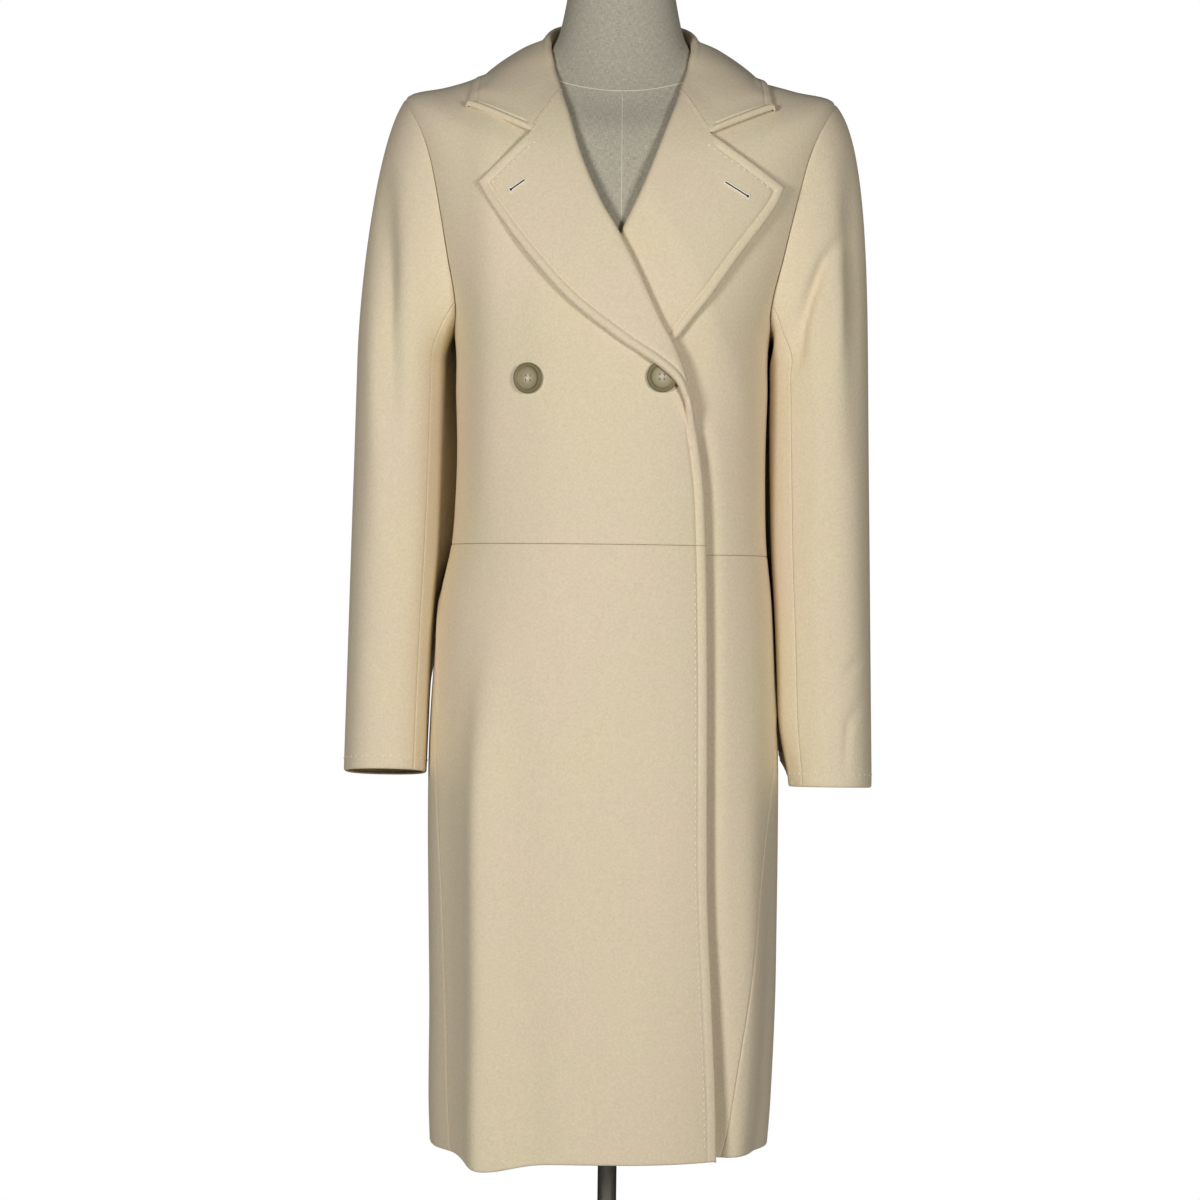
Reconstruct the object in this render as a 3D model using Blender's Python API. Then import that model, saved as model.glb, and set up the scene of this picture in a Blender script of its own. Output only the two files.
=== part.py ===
"""A knee-length double-breasted chesterfield coat in felted wool, worn by a limbless
linen-covered dress form on a round-footed stand.

Metres, +Z up, the coat's front looks along -Y and the floor is z = 0.
"Right" and "left" are the wearer's: the wearer's right side is at -X.
"""
from collections import namedtuple
from functools import lru_cache
from math import cos, exp, hypot, pi, radians, sin

import bmesh
import bpy
from mathutils import Vector
from mathutils.bvhtree import BVHTree

# ---------------------------------------------------------------- driving dimensions
CLOTH = 0.0030              # wall of the coat: felted wool with its facing
SEAM_GAP = 0.0003           # air between two pieces that are sewn together
LAPEL_ROLL = 0.0032         # radius of the cloth's middle where the lapel turns over
LAPEL_EDGE_HEIGHT = 0.0030  # middle of the lapel's cloth above the front at its free edge
WAIST_SEAM_RIGHT = 0.951    # height of the waist seam on the outer front
WAIST_SEAM_LEFT = 0.943     # and on the under front
WAIST_SEAM_BACK = 0.947
HEM = 0.387                 # height of the hem
HIP_LEVEL = 0.860           # the skirts' even rows end here
SIDE_LEVEL = 0.930          # above this ring the side seams are at the sides
SKIRT_ROWS = 8
NECK_LEVEL = 1.400          # ring where the collar's stand is sewn on
SHOULDER_LEVEL = 1.320      # ring that passes over the two shoulder points
UNDERARM_LEVEL = 1.150      # ring through the lowest point of the armholes
BREAK_HEIGHT = 1.085        # where the lapels turn over
BUTTON_DIAMETER = 0.0285
BUTTON_THICKNESS = 0.0045
POLE_DIAMETER = 0.0180
BASE_DIAMETER = 0.340
BASE_THICKNESS = 0.012
FORM_BOTTOM = 0.700
FORM_NECK_TOP = 1.500
REST_GAP = 0.0010           # between the form's shoulders and the cloth they carry
FACET_GAP = 0.0005          # seam gap between pieces whose flat facets differ
NECK_CLEARANCE = 0.0004     # added beside the collar, where the edge bends most
GORGE_GAP = 0.0009          # between the collar and the lapels, which curve two ways

# The coat's body as level rings. The sides of a ring may stand higher than its front and
# back, which is how the rings climb over the shoulders to the neck.
Ring = namedtuple("Ring", "level side_z front_z back_z half_width front_depth back_depth"
                          " centre_x squareness")
COAT_RINGS = [
    Ring(0.387, 0.387, 0.387, 0.387, 0.1600, 0.138, 0.128, -0.0085, 2.30),
    Ring(0.430, 0.430, 0.430, 0.430, 0.1622, 0.137, 0.127, -0.0080, 2.30),
    Ring(0.520, 0.520, 0.520, 0.520, 0.1640, 0.136, 0.126, -0.0066, 2.30),
    Ring(0.600, 0.600, 0.600, 0.600, 0.1651, 0.135, 0.125, -0.0072, 2.30),
    Ring(0.690, 0.690, 0.690, 0.690, 0.1660, 0.133, 0.124, -0.0081, 2.30),
    Ring(0.760, 0.760, 0.760, 0.760, 0.1655, 0.131, 0.121, -0.0085, 2.28),
    Ring(0.824, 0.824, 0.824, 0.824, 0.1624, 0.128, 0.116, -0.0088, 2.25),
    Ring(0.900, 0.900, 0.900, 0.900, 0.1572, 0.124, 0.109, -0.0080, 2.22),
    Ring(0.952, 0.952, 0.952, 0.952, 0.1492, 0.122, 0.105, -0.0056, 2.20),
    Ring(0.995, 0.995, 0.995, 0.995, 0.1468, 0.123, 0.104, -0.0048, 2.20),
    Ring(1.040, 1.040, 1.040, 1.040, 0.1460, 0.126, 0.106, -0.0044, 2.20),
    Ring(1.090, 1.090, 1.088, 1.090, 0.1474, 0.129, 0.110, -0.0046, 2.20),
    Ring(1.150, 1.150, 1.142, 1.150, 0.1500, 0.131, 0.114, -0.0048, 2.22),
    Ring(1.220, 1.235, 1.205, 1.225, 0.1770, 0.128, 0.115, -0.0030, 2.25),
    Ring(1.280, 1.315, 1.262, 1.292, 0.1975, 0.119, 0.111, -0.0010, 2.25),
    Ring(1.320, 1.372, 1.303, 1.345, 0.2040, 0.108, 0.103, 0.0000, 2.25),
    Ring(1.345, 1.384, 1.327, 1.376, 0.1650, 0.098, 0.097, 0.0000, 2.20),
    Ring(1.370, 1.395, 1.347, 1.402, 0.1230, 0.086, 0.089, 0.0000, 2.20),
    Ring(1.400, 1.410, 1.366, 1.425, 0.0720, 0.069, 0.076, 0.0000, 2.20),
]

# Largest folds of the body: the angle is from the centre front toward the wearer's left,
# the height is outward, and the fold fades in from fade_level down to full_level.
Fold = namedtuple("Fold", "angle spread height fade_level full_level")
COAT_FOLDS = [
    Fold(-44, 9, 0.0050, 0.900, 0.640),
    Fold(-26, 8, -0.0035, 0.640, 0.450),
    Fold(-66, 10, -0.0040, 0.900, 0.560),
    Fold(52, 9, 0.0040, 0.860, 0.560),
    Fold(72, 9, -0.0045, 0.800, 0.480),
    Fold(112, 10, 0.0050, 0.880, 0.520),
    Fold(137, 10, -0.0055, 0.860, 0.480),
    Fold(160, 9, 0.0050, 0.800, 0.460),
    Fold(-112, 10, 0.0055, 0.860, 0.540),
    Fold(-139, 9, -0.0050, 0.840, 0.480),
    Fold(-163, 10, 0.0045, 0.780, 0.440),
]
HEM_DIP = 0.010             # the hem hangs lower under the fold by the right side
HEM_DIP_ANGLE = -36
HEM_DIP_SPREAD = 14
HEM_DIP_FADE = 0.120

# Edges as the front view shows them, from the top down: height and sideways place.
EdgePoint = namedtuple("EdgePoint", "z x")
ARMHOLE = [                 # half breadth between the armhole seams, about the ring's centre
    EdgePoint(1.372, 0.2040), EdgePoint(1.364, 0.2010), EdgePoint(1.350, 0.1930),
    EdgePoint(1.334, 0.1850), EdgePoint(1.312, 0.1770), EdgePoint(1.287, 0.1708),
    EdgePoint(1.256, 0.1640), EdgePoint(1.217, 0.1560), EdgePoint(1.185, 0.1490),
    EdgePoint(1.165, 0.1470), EdgePoint(1.150, 0.1500),
]
ROLL_RIGHT = [              # roll line of the outer lapel, up to the side of the neck
    EdgePoint(1.415, -0.0640), EdgePoint(1.395, -0.0612), EdgePoint(1.372, -0.0549),
    EdgePoint(1.347, -0.0470), EdgePoint(1.307, -0.0350), EdgePoint(1.265, -0.0170),
    EdgePoint(1.237, -0.0008), EdgePoint(1.201, 0.0175), EdgePoint(1.159, 0.0370),
    EdgePoint(1.131, 0.0520), EdgePoint(1.109, 0.0605), EdgePoint(1.085, 0.0670),
]
EDGE_RIGHT = ROLL_RIGHT + [  # and on down the outer front's edge
    EdgePoint(1.040, 0.0760), EdgePoint(0.992, 0.0816), EdgePoint(0.866, 0.0859),
    EdgePoint(0.628, 0.0889), EdgePoint(0.536, 0.0937), EdgePoint(0.445, 0.0985),
    EdgePoint(0.360, 0.1005),
]
ROLL_LEFT = [
    EdgePoint(1.415, 0.0640), EdgePoint(1.395, 0.0612), EdgePoint(1.372, 0.0549),
    EdgePoint(1.347, 0.0465), EdgePoint(1.321, 0.0370), EdgePoint(1.279, 0.0208),
    EdgePoint(1.245, 0.0044), EdgePoint(1.205, -0.0140), EdgePoint(1.160, -0.0350),
    EdgePoint(1.125, -0.0520), EdgePoint(1.085, -0.0680),
]
EDGE_LEFT = ROLL_LEFT + [
    EdgePoint(1.040, -0.0800), EdgePoint(0.992, -0.0880), EdgePoint(0.866, -0.0960),
    EdgePoint(0.628, -0.1000), EdgePoint(0.360, -0.1040),
]
# How far the under front lies inside the body's surface where the outer front covers it.
UNDER_STEP = [              # height and depth
    EdgePoint(1.390, 0.0000), EdgePoint(1.300, 0.0040), EdgePoint(1.250, 0.0106),
    EdgePoint(1.090, 0.0106), EdgePoint(1.050, 0.0052), EdgePoint(0.700, 0.0052),
    EdgePoint(0.520, 0.0080), EdgePoint(0.387, 0.0130),
]
UNDER_STEP_FADE = 0.055     # breadth over which the under front comes back out

# Angle of each side seam from the centre front; below the hips the seams swing forward.
SeamPoint = namedtuple("SeamPoint", "level angle")
SIDE_SEAM_LEFT = [
    SeamPoint(0.360, 45.0), SeamPoint(0.400, 46.5), SeamPoint(0.483, 49.5),
    SeamPoint(0.578, 55.5), SeamPoint(0.650, 61.0), SeamPoint(0.710, 69.0),
    SeamPoint(0.790, 82.0), SeamPoint(0.860, 90.0), SeamPoint(0.870, 90.0),
    SeamPoint(0.960, 90.0),
]
SIDE_SEAM_RIGHT = [
    SeamPoint(0.360, 60.5), SeamPoint(0.400, 61.5), SeamPoint(0.526, 64.4),
    SeamPoint(0.646, 67.0), SeamPoint(0.805, 74.0), SeamPoint(0.860, 80.0),
    SeamPoint(0.920, 90.0), SeamPoint(0.930, 90.0), SeamPoint(0.960, 90.0),
]

# Lapel outlines in the front view.
GORGE_TOP_Z = 1.3715        # where the gorge seam meets the roll line
Outline = namedtuple("Outline", "x z")
LAPEL_RIGHT_NOTCH = Outline(-0.0820, 1.3280)
LAPEL_RIGHT_EDGE = [        # from the tip to the break
    Outline(-0.1290, 1.2822), Outline(-0.1172, 1.2614), Outline(-0.0853, 1.2178),
    Outline(-0.0449, 1.1723), Outline(-0.0005, 1.1373), Outline(0.0299, 1.1175),
    Outline(0.0500, 1.1010), Outline(0.0590, 1.0850),
]
LAPEL_LEFT_NOTCH = Outline(0.0820, 1.3280)
LAPEL_LEFT_EDGE = [
    Outline(0.1487, 1.2828), Outline(0.1400, 1.2625), Outline(0.1066, 1.2145),
    Outline(0.0706, 1.1619), Outline(0.0508, 1.1345), Outline(0.0100, 1.1130),
    Outline(-0.0300, 1.0980), Outline(-0.0595, 1.0850),
]

# The turned-down collar, from the centre back to the gorge, for the wearer's left half:
# the seam runs on the neckline at seam_angle and seam_level of the coat's rings.
CollarStation = namedtuple("CollarStation", "seam_angle seam_level fold_x fold_y fold_z"
                                            " edge_x edge_y edge_z")
COLLAR = [
    CollarStation(180, 1.400, 0.0000, 0.0720, 1.4580, 0.0000, 0.1060, 1.3850),
    CollarStation(150, 1.400, 0.0330, 0.0635, 1.4575, 0.0520, 0.0990, 1.3860),
    CollarStation(122, 1.400, 0.0580, 0.0400, 1.4510, 0.0980, 0.0710, 1.3930),
    CollarStation(98, 1.400, 0.0665, 0.0080, 1.4370, 0.1255, 0.0240, 1.3990),
    CollarStation(80, 1.400, 0.0675, -0.0190, 1.4215, 0.1345, -0.0130, 1.3880),
    CollarStation(65, 1.400, 0.0640, -0.0385, 1.4070, 0.1385, -0.0420, 1.3745),
    CollarStation(53, 1.395, 0.0600, -0.0550, 1.3890, 0.1412, -0.0600, 1.3635),
    CollarStation(37, 1.385, 0.0549, -0.0680, 1.3715, 0.1427, -0.0700, 1.3555),
]
COLLAR_TIP = Outline(0.1427, 1.3555)
FRONT_SHARE = 0.62          # from here on the collar's section turns into the lapel's

# Sleeves from the bicep down: right and left are mirror images but for their place.
SleeveRing = namedtuple("SleeveRing", "z centre_x centre_y half_width half_depth")
SLEEVE_RINGS = [
    SleeveRing(1.125, 0.2048, 0.004, 0.0402, 0.0690),
    SleeveRing(1.040, 0.2065, 0.004, 0.0402, 0.0660),
    SleeveRing(0.955, 0.2085, 0.000, 0.0398, 0.0620),
    SleeveRing(0.850, 0.2117, -0.008, 0.0382, 0.0560),
    SleeveRing(0.737, 0.2141, -0.020, 0.0373, 0.0500),
]
SLEEVE_SHIFT = {"right": (-1, 0.0000), "left": (1, -0.0085)}
CUFF_Z = {"right": 0.7355, "left": 0.7262}
CUFF_SLANT = {"right": 0.0055, "left": 0.0025}  # a cuff's back hangs lower than its front
CAP_RISE = 0.33             # how long the cap holds its outward direction
CAP_TOP = {                 # what the cap's top adds to that direction, outward and up, and length
    "right": (0.25, -0.25, 0.15), "left": (0.35, -0.15, 0.17),
}
ARMHOLE_ROWS = 12           # steps up each side of the armhole
FORE_SEAM = 9 / 24          # share of the way round a sleeve, from its top by the front
HIND_SEAM = 16 / 24

# The dress form below the shoulders, and its neck above them.
FORM_RINGS = [
    Ring(0.704, 0.704, 0.704, 0.704, 0.1300, 0.080, 0.086, 0.0, 2.2),
    Ring(0.712, 0.712, 0.712, 0.712, 0.1460, 0.092, 0.100, 0.0, 2.2),
    Ring(0.760, 0.760, 0.760, 0.760, 0.1500, 0.098, 0.108, 0.0, 2.2),
    Ring(0.830, 0.830, 0.830, 0.830, 0.1480, 0.096, 0.104, 0.0, 2.2),
    Ring(0.910, 0.910, 0.910, 0.910, 0.1310, 0.086, 0.090, 0.0, 2.2),
    Ring(0.990, 0.990, 0.990, 0.990, 0.1160, 0.080, 0.082, 0.0, 2.2),
    Ring(1.060, 1.060, 1.060, 1.060, 0.1220, 0.090, 0.088, 0.0, 2.2),
    Ring(1.130, 1.130, 1.130, 1.130, 0.1320, 0.106, 0.096, 0.0, 2.2),
    Ring(1.190, 1.200, 1.185, 1.195, 0.1400, 0.113, 0.100, 0.0, 2.2),
    Ring(1.250, 1.270, 1.238, 1.255, 0.1480, 0.109, 0.100, 0.0, 2.2),
    Ring(1.300, 1.330, 1.284, 1.310, 0.1590, 0.102, 0.097, 0.0, 2.2),
]
FORM_SHOULDER_LEVELS = [1.341, 1.350, 1.360, 1.370, 1.379]
FORM_NECK_RINGS = [
    Ring(1.4030, 1.4030, 1.360, 1.4170, 0.0660, 0.0640, 0.0710, 0.0, 2.15),
    Ring(1.4180, 1.4180, 1.376, 1.4320, 0.0618, 0.0580, 0.0665, 0.0, 2.1),
    Ring(1.4310, 1.4310, 1.402, 1.4420, 0.0590, 0.0520, 0.0640, 0.0, 2.1),
    Ring(1.4430, 1.4430, 1.428, 1.4510, 0.0568, 0.0490, 0.0630, 0.0, 2.1),
    Ring(1.4560, 1.4560, 1.450, 1.4600, 0.0535, 0.0470, 0.0610, 0.0, 2.1),
    Ring(1.4700, 1.4700, 1.468, 1.4720, 0.0510, 0.0460, 0.0595, 0.0, 2.1),
    Ring(1.4960, 1.4960, 1.496, 1.4960, 0.0490, 0.0440, 0.0580, 0.0, 2.0),
    Ring(1.5000, 1.5000, 1.500, 1.5000, 0.0450, 0.0400, 0.0540, 0.0, 2.0),
]

BUTTON_OUTER = Outline(-0.0810, 1.1020)
BUTTON_INNER = Outline(0.0400, 1.1040)

WOOL = ((0.80, 0.70, 0.56), 0.92, 0.0)
LINEN = ((0.56, 0.52, 0.44), 0.90, 0.0)
HORN = ((0.36, 0.32, 0.24), 0.35, 0.0)
STEEL = ((0.45, 0.45, 0.46), 0.35, 1.0)


# ---------------------------------------------------------------- smooth curves through tables
def follow(places, values, place):
    """Value at a place on a smooth curve through the values at increasing places."""
    if place <= places[0]:
        return values[0]
    if place >= places[-1]:
        return values[-1]
    i = 0
    while places[i + 1] < place:
        i += 1
    last = len(places) - 1

    def slope(k):
        before = max(k - 1, 0)
        after = min(k + 1, last)
        return (values[after] - values[before]) / (places[after] - places[before])

    step = places[i + 1] - places[i]
    s = (place - places[i]) / step
    start = (2 * s ** 3 - 3 * s ** 2 + 1) * values[i] + (s ** 3 - 2 * s ** 2 + s) * step * slope(i)
    end = (3 * s ** 2 - 2 * s ** 3) * values[i + 1] + (s ** 3 - s ** 2) * step * slope(i + 1)
    return start + end


def follow_rows(rows, key, place):
    """Every column of a table's rows at a place between two of them."""
    places = [getattr(row, key) for row in rows]
    return type(rows[0])(*(follow(places, [row[c] for row in rows], place)
                           for c in range(len(rows[0]))))


def edge_x(edge, z):
    """Sideways place of a front-view edge at a height."""
    rising = edge[::-1]
    return follow([point.z for point in rising], [point.x for point in rising], z)


def smooth_step(low, high, value):
    share = min(max((value - low) / (high - low), 0.0), 1.0)
    return share * share * (3 - 2 * share)


def signed_power(value, power):
    return abs(value) ** power * (1 if value >= 0 else -1)


# ---------------------------------------------------------------- the coat's body surface
@lru_cache(maxsize=None)
def coat_ring(level):
    return follow_rows(COAT_RINGS, "level", level)


def ring_point(ring, angle):
    """Point of a ring: angle 0 is the centre front, +90 degrees the wearer's left side."""
    power = 2 / ring.squareness
    side = signed_power(sin(angle), power)
    ahead = signed_power(cos(angle), power)
    depth = ring.front_depth if ahead >= 0 else ring.back_depth
    end_z = ring.front_z if ahead >= 0 else ring.back_z
    return Vector((ring.centre_x + ring.half_width * side,
                   -depth * ahead,
                   ring.side_z + (end_z - ring.side_z) * ahead * ahead))


def fold_height(angle, level):
    height = 0.0
    for fold in COAT_FOLDS:
        turn = (angle - radians(fold.angle) + pi) % (2 * pi) - pi
        bump = exp(-(turn / radians(fold.spread)) ** 2)
        height += fold.height * bump * smooth_step(fold.fade_level, fold.full_level, level)
    return height


def coat_point(angle, level):
    point = ring_point(coat_ring(round(level, 6)), angle)
    outward = Vector((sin(angle), -cos(angle), 0))
    dip = exp(-((angle - radians(HEM_DIP_ANGLE)) / radians(HEM_DIP_SPREAD)) ** 2)
    drop = HEM_DIP * dip * smooth_step(HEM + HEM_DIP_FADE, HEM, level)
    return point + outward * fold_height(angle, level) - Vector((0, 0, drop))


def coat_skin(angle, level, outward=0.0):
    """Point of the coat's outer surface, moved outward along its normal."""
    turn = 0.002
    rise = 0.002
    across = coat_point(angle + turn, level) - coat_point(angle - turn, level)
    top = min(level + rise, NECK_LEVEL)
    up = coat_point(angle, top) - coat_point(angle, top - 2 * rise)
    normal = across.cross(up).normalized()
    return coat_point(angle, level) + normal * outward


def angle_at_x(level, edge, side):
    """Angle, on the front of a ring, where the ring crosses a front-view edge."""
    low = radians(-89.9)
    high = radians(89.9)
    for _ in range(40):
        middle = (low + high) / 2
        point = coat_point(middle, level)
        if point.x < edge_x(edge, point.z) + side:
            low = middle
        else:
            high = middle
    return low


def level_at(x, z):
    """Angle and level of the front surface's point at x and z."""
    low = HEM - 0.02
    high = NECK_LEVEL
    for _ in range(36):
        level = (low + high) / 2
        ring = coat_ring(round(level, 6))
        share = min(max((x - ring.centre_x) / ring.half_width, -0.9999), 0.9999)
        side = signed_power(share, ring.squareness / 2)
        angle = Vector((1, 0)).angle_signed(Vector(((1 - side * side) ** 0.5, -side)))
        if coat_point(angle, level).z < z:
            low = level
        else:
            high = level
    return angle, level


def front_skin(x, z, outward=0.0):
    angle, level = level_at(x, z)
    return coat_skin(angle, level, outward)


def under_step(x, z):
    """Depth of the under front inside the body's surface."""
    depth = edge_x(UNDER_STEP, z)
    free = edge_x(EDGE_RIGHT, z)
    return depth * (1 - smooth_step(free, free + UNDER_STEP_FADE, x))


def side_seam(seam, level):
    """Angle of a side seam from the centre front."""
    return radians(follow([p.level for p in seam], [p.angle for p in seam], level))


def armhole_angle(level, back):
    """Angle of the armhole seam on a ring: zero is the side, growing toward the centre."""
    if level <= UNDERARM_LEVEL or level >= SHOULDER_LEVEL:
        return 0.0
    low = 0.0
    high = radians(85)
    facing = -1 if back else 1
    ring = coat_ring(round(level, 6))
    for _ in range(40):
        middle = (low + high) / 2
        point = ring_point(ring, radians(90) - facing * middle)
        if point.x - ring.centre_x > edge_x(ARMHOLE, point.z):
            low = middle
        else:
            high = middle
    return low


# ---------------------------------------------------------------- making solids
def material(name, look):
    made = bpy.data.materials.new(name)
    made.use_nodes = True
    shader = made.node_tree.nodes["Principled BSDF"]
    shader.inputs["Base Color"].default_value = (*look[0], 1)
    shader.inputs["Roughness"].default_value = look[1]
    shader.inputs["Metallic"].default_value = look[2]
    made.diffuse_color = (*look[0], 1)
    return made


def finish(name, bm, look, sharp=35):
    """Turn a bmesh into a named object with smooth round faces."""
    bmesh.ops.recalc_face_normals(bm, faces=bm.faces)
    mesh = bpy.data.meshes.new(name)
    bm.to_mesh(mesh)
    bm.free()
    mesh.materials.append(material(name + "_look", look))
    mesh.shade_smooth()
    mesh.set_sharp_from_angle(angle=radians(sharp))
    body = bpy.data.objects.new(name, mesh)
    bpy.context.scene.collection.objects.link(body)
    return body


def grid_normals(grid):
    """Normals of a grid of points, from its neighbours along both ways."""
    rows = len(grid)
    columns = len(grid[0])
    normals = []
    for r in range(rows):
        line = []
        for c in range(columns):
            across = grid[r][min(c + 1, columns - 1)] - grid[r][max(c - 1, 0)]
            up = grid[min(r + 1, rows - 1)][c] - grid[max(r - 1, 0)][c]
            line.append(across.cross(up).normalized())
        normals.append(line)
    return normals


def wall(name, outer, inner, look):
    """Closed wall between two grids of points that lie face to face."""
    bm = bmesh.new()
    faces = []
    for grid in (outer, inner):
        faces.append([[bm.verts.new(point) for point in row] for row in grid])
    top, under = faces
    rows = len(outer)
    columns = len(outer[0])
    for r in range(rows - 1):
        for c in range(columns - 1):
            bm.faces.new((top[r][c], top[r][c + 1], top[r + 1][c + 1], top[r + 1][c]))
            bm.faces.new((under[r][c], under[r + 1][c], under[r + 1][c + 1], under[r][c + 1]))
    rim = [(0, c) for c in range(columns)] + [(r, columns - 1) for r in range(1, rows)]
    rim += [(rows - 1, c) for c in range(columns - 2, -1, -1)]
    rim += [(r, 0) for r in range(rows - 2, 0, -1)]
    for (r, c), (r2, c2) in zip(rim, rim[1:] + rim[:1]):
        bm.faces.new((top[r][c], under[r][c], under[r2][c2], top[r2][c2]))
    bmesh.ops.triangulate(bm, faces=bm.faces)
    return finish(name, bm, look)


def sheet(name, middle, thickness, look, normals):
    """Wall built half its thickness to each side of a grid of points."""
    outer = []
    inner = []
    for row, row_normals in zip(middle, normals):
        outer.append([p + n * thickness / 2 for p, n in zip(row, row_normals)])
        inner.append([p - n * thickness / 2 for p, n in zip(row, row_normals)])
    return wall(name, outer, inner, look)


def turned(name, profile, look, sides=48, centre=(0, 0)):
    """Solid of revolution about a vertical line; the profile goes from axis to axis."""
    bm = bmesh.new()
    rings = []
    for radius, z in profile:
        if radius == 0:
            rings.append([bm.verts.new((*centre, z))])
            continue
        rings.append([bm.verts.new((centre[0] + radius * cos(2 * pi * k / sides),
                                    centre[1] + radius * sin(2 * pi * k / sides), z))
                      for k in range(sides)])
    skin_rings(bm, rings)
    return finish(name, bm, look)


def skin_rings(bm, rings):
    """Bridge closed loops in order; a loop of one point is a pole."""
    for lower, upper in zip(rings, rings[1:]):
        count = max(len(lower), len(upper))
        for k in range(count):
            a = lower[k % len(lower)]
            b = lower[(k + 1) % len(lower)]
            c = upper[(k + 1) % len(upper)]
            d = upper[k % len(upper)]
            corners = [v for i, v in enumerate((a, b, c, d)) if v not in (a, b, c, d)[:i]]
            bm.faces.new(corners)


# ---------------------------------------------------------------- body panels
def spread(low, high, count):
    return [low + (high - low) * k / (count - 1) for k in range(count)]


def panel(name, levels, bounds, columns, step=None):
    """Panel of the body between two angles on each level, its wall to the inside."""
    outer = []
    inner = []
    for level in levels:
        start, stop = bounds(level)
        half_gap = SEAM_GAP / 2 / coat_ring(round(level, 6)).half_width
        row_out = []
        row_in = []
        for angle in spread(start + half_gap, stop - half_gap, columns):
            base = coat_point(angle, level)
            depth = step(base.x, base.z) if step and base.y < 0 else 0.0
            row_out.append(coat_skin(angle, level, -depth))
            row_in.append(coat_skin(angle, level, -depth - CLOTH))
        outer.append(row_out)
        inner.append(row_in)
    return wall(name, outer, inner, WOOL)


def roll_radius(z):
    """The roll flattens as it runs out into the front edge."""
    return LAPEL_ROLL * (0.80 + 0.20 * smooth_step(BREAK_HEIGHT, BREAK_HEIGHT + 0.05, z))


def roll_slope(roll, z):
    """How far the roll line moves sideways for each metre of height."""
    reach = 0.002
    return (edge_x(roll, z + reach) - edge_x(roll, z - reach)) / (2 * reach)


def panel_edge(edge, side, level):
    """Angle where a front panel ends: short of the roll line by the roll's radius."""
    z = coat_point(angle_at_x(level, edge, 0), level).z
    setback = roll_radius(z) + CLOTH / 2 + FACET_GAP
    setback += NECK_CLEARANCE * smooth_step(1.330, 1.360, z)
    setback *= hypot(1, roll_slope(edge, z)) * smooth_step(BREAK_HEIGHT - 0.020, BREAK_HEIGHT, z)
    return angle_at_x(level, edge, side * setback)


def right_front(level):
    side = -side_seam(SIDE_SEAM_RIGHT, level) + armhole_angle(level, False)
    return side, panel_edge(EDGE_RIGHT, -1, level)


def left_front(level):
    side = side_seam(SIDE_SEAM_LEFT, level) - armhole_angle(level, False)
    return panel_edge(EDGE_LEFT, 1, level), side


def left_back(level):
    return side_seam(SIDE_SEAM_LEFT, level) + armhole_angle(level, True), radians(180)


def right_back(level):
    return -radians(180), -side_seam(SIDE_SEAM_RIGHT, level) - armhole_angle(level, True)


def skirt_levels(seam):
    between = (HIP_LEVEL + SIDE_LEVEL) / 2
    return spread(HEM, HIP_LEVEL, SKIRT_ROWS) + [between, SIDE_LEVEL, seam - SEAM_GAP / 2]


def armhole_levels():
    """Levels of the rows up the armhole, closer together toward its two ends."""
    half = (SHOULDER_LEVEL - UNDERARM_LEVEL) / 2
    return [UNDERARM_LEVEL + half * (1 - cos(pi * k / ARMHOLE_ROWS))
            for k in range(ARMHOLE_ROWS + 1)]


def bodice_levels(seam):
    low = spread(seam + SEAM_GAP / 2, BREAK_HEIGHT - 0.018, 3)
    low += spread(BREAK_HEIGHT + 0.002, UNDERARM_LEVEL, 3)
    high = spread(SHOULDER_LEVEL, NECK_LEVEL, 6)
    return low + armhole_levels()[1:] + high[1:]


def build_panels():
    panel("front_skirt_right", skirt_levels(WAIST_SEAM_RIGHT), right_front, 17)
    panel("front_skirt_left", skirt_levels(WAIST_SEAM_LEFT), left_front, 15, under_step)
    panel("back_skirt_right", skirt_levels(WAIST_SEAM_BACK), right_back, 14)
    panel("back_skirt_left", skirt_levels(WAIST_SEAM_BACK), left_back, 15, under_step)
    panel("front_bodice_right", bodice_levels(WAIST_SEAM_RIGHT), right_front, 14)
    panel("front_bodice_left", bodice_levels(WAIST_SEAM_LEFT), left_front, 14, under_step)
    panel("back_bodice_right", bodice_levels(WAIST_SEAM_BACK), right_back, 9)
    panel("back_bodice_left", bodice_levels(WAIST_SEAM_BACK), left_back, 9)


# ---------------------------------------------------------------- lapels
def lapel_height(share, z):
    """Height of the lapel's middle over the front, from the roll line to the free edge."""
    top = 2 * roll_radius(z) - CLOTH / 2
    return top + (LAPEL_EDGE_HEIGHT - top) * smooth_step(0.0, 0.85, share)


def over_button(height, x, z):
    """The outer lapel rides up over the button that it half covers."""
    away = hypot(x - BUTTON_INNER.x, z - BUTTON_INNER.z)
    cover = BUTTON_THICKNESS + 5 * SEAM_GAP + CLOTH / 2
    lift = cover * (1 - smooth_step(0.017, 0.060, away)) - max(height, LAPEL_EDGE_HEIGHT)
    return height + max(lift, 0.0) * smooth_step(-CLOTH / 2, LAPEL_EDGE_HEIGHT, height)


def polyline(points, share):
    """Point at a share of a polyline's length."""
    lengths = [hypot(b.x - a.x, b.z - a.z) for a, b in zip(points, points[1:])]
    left = share * sum(lengths)
    for a, b, length in zip(points, points[1:], lengths):
        if left <= length + 1e-9:
            return Outline(a.x + (b.x - a.x) * left / length, a.z + (b.z - a.z) * left / length)
        left -= length
    return points[-1]


def curve_point(points, share):
    """Point at a share of a smooth curve through outline points."""
    places = [0.0]
    for a, b in zip(points, points[1:]):
        places.append(places[-1] + hypot(b.x - a.x, b.z - a.z))
    place = share * places[-1]
    return Outline(follow(places, [p.x for p in points], place),
                   follow(places, [p.z for p in points], place))


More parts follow.
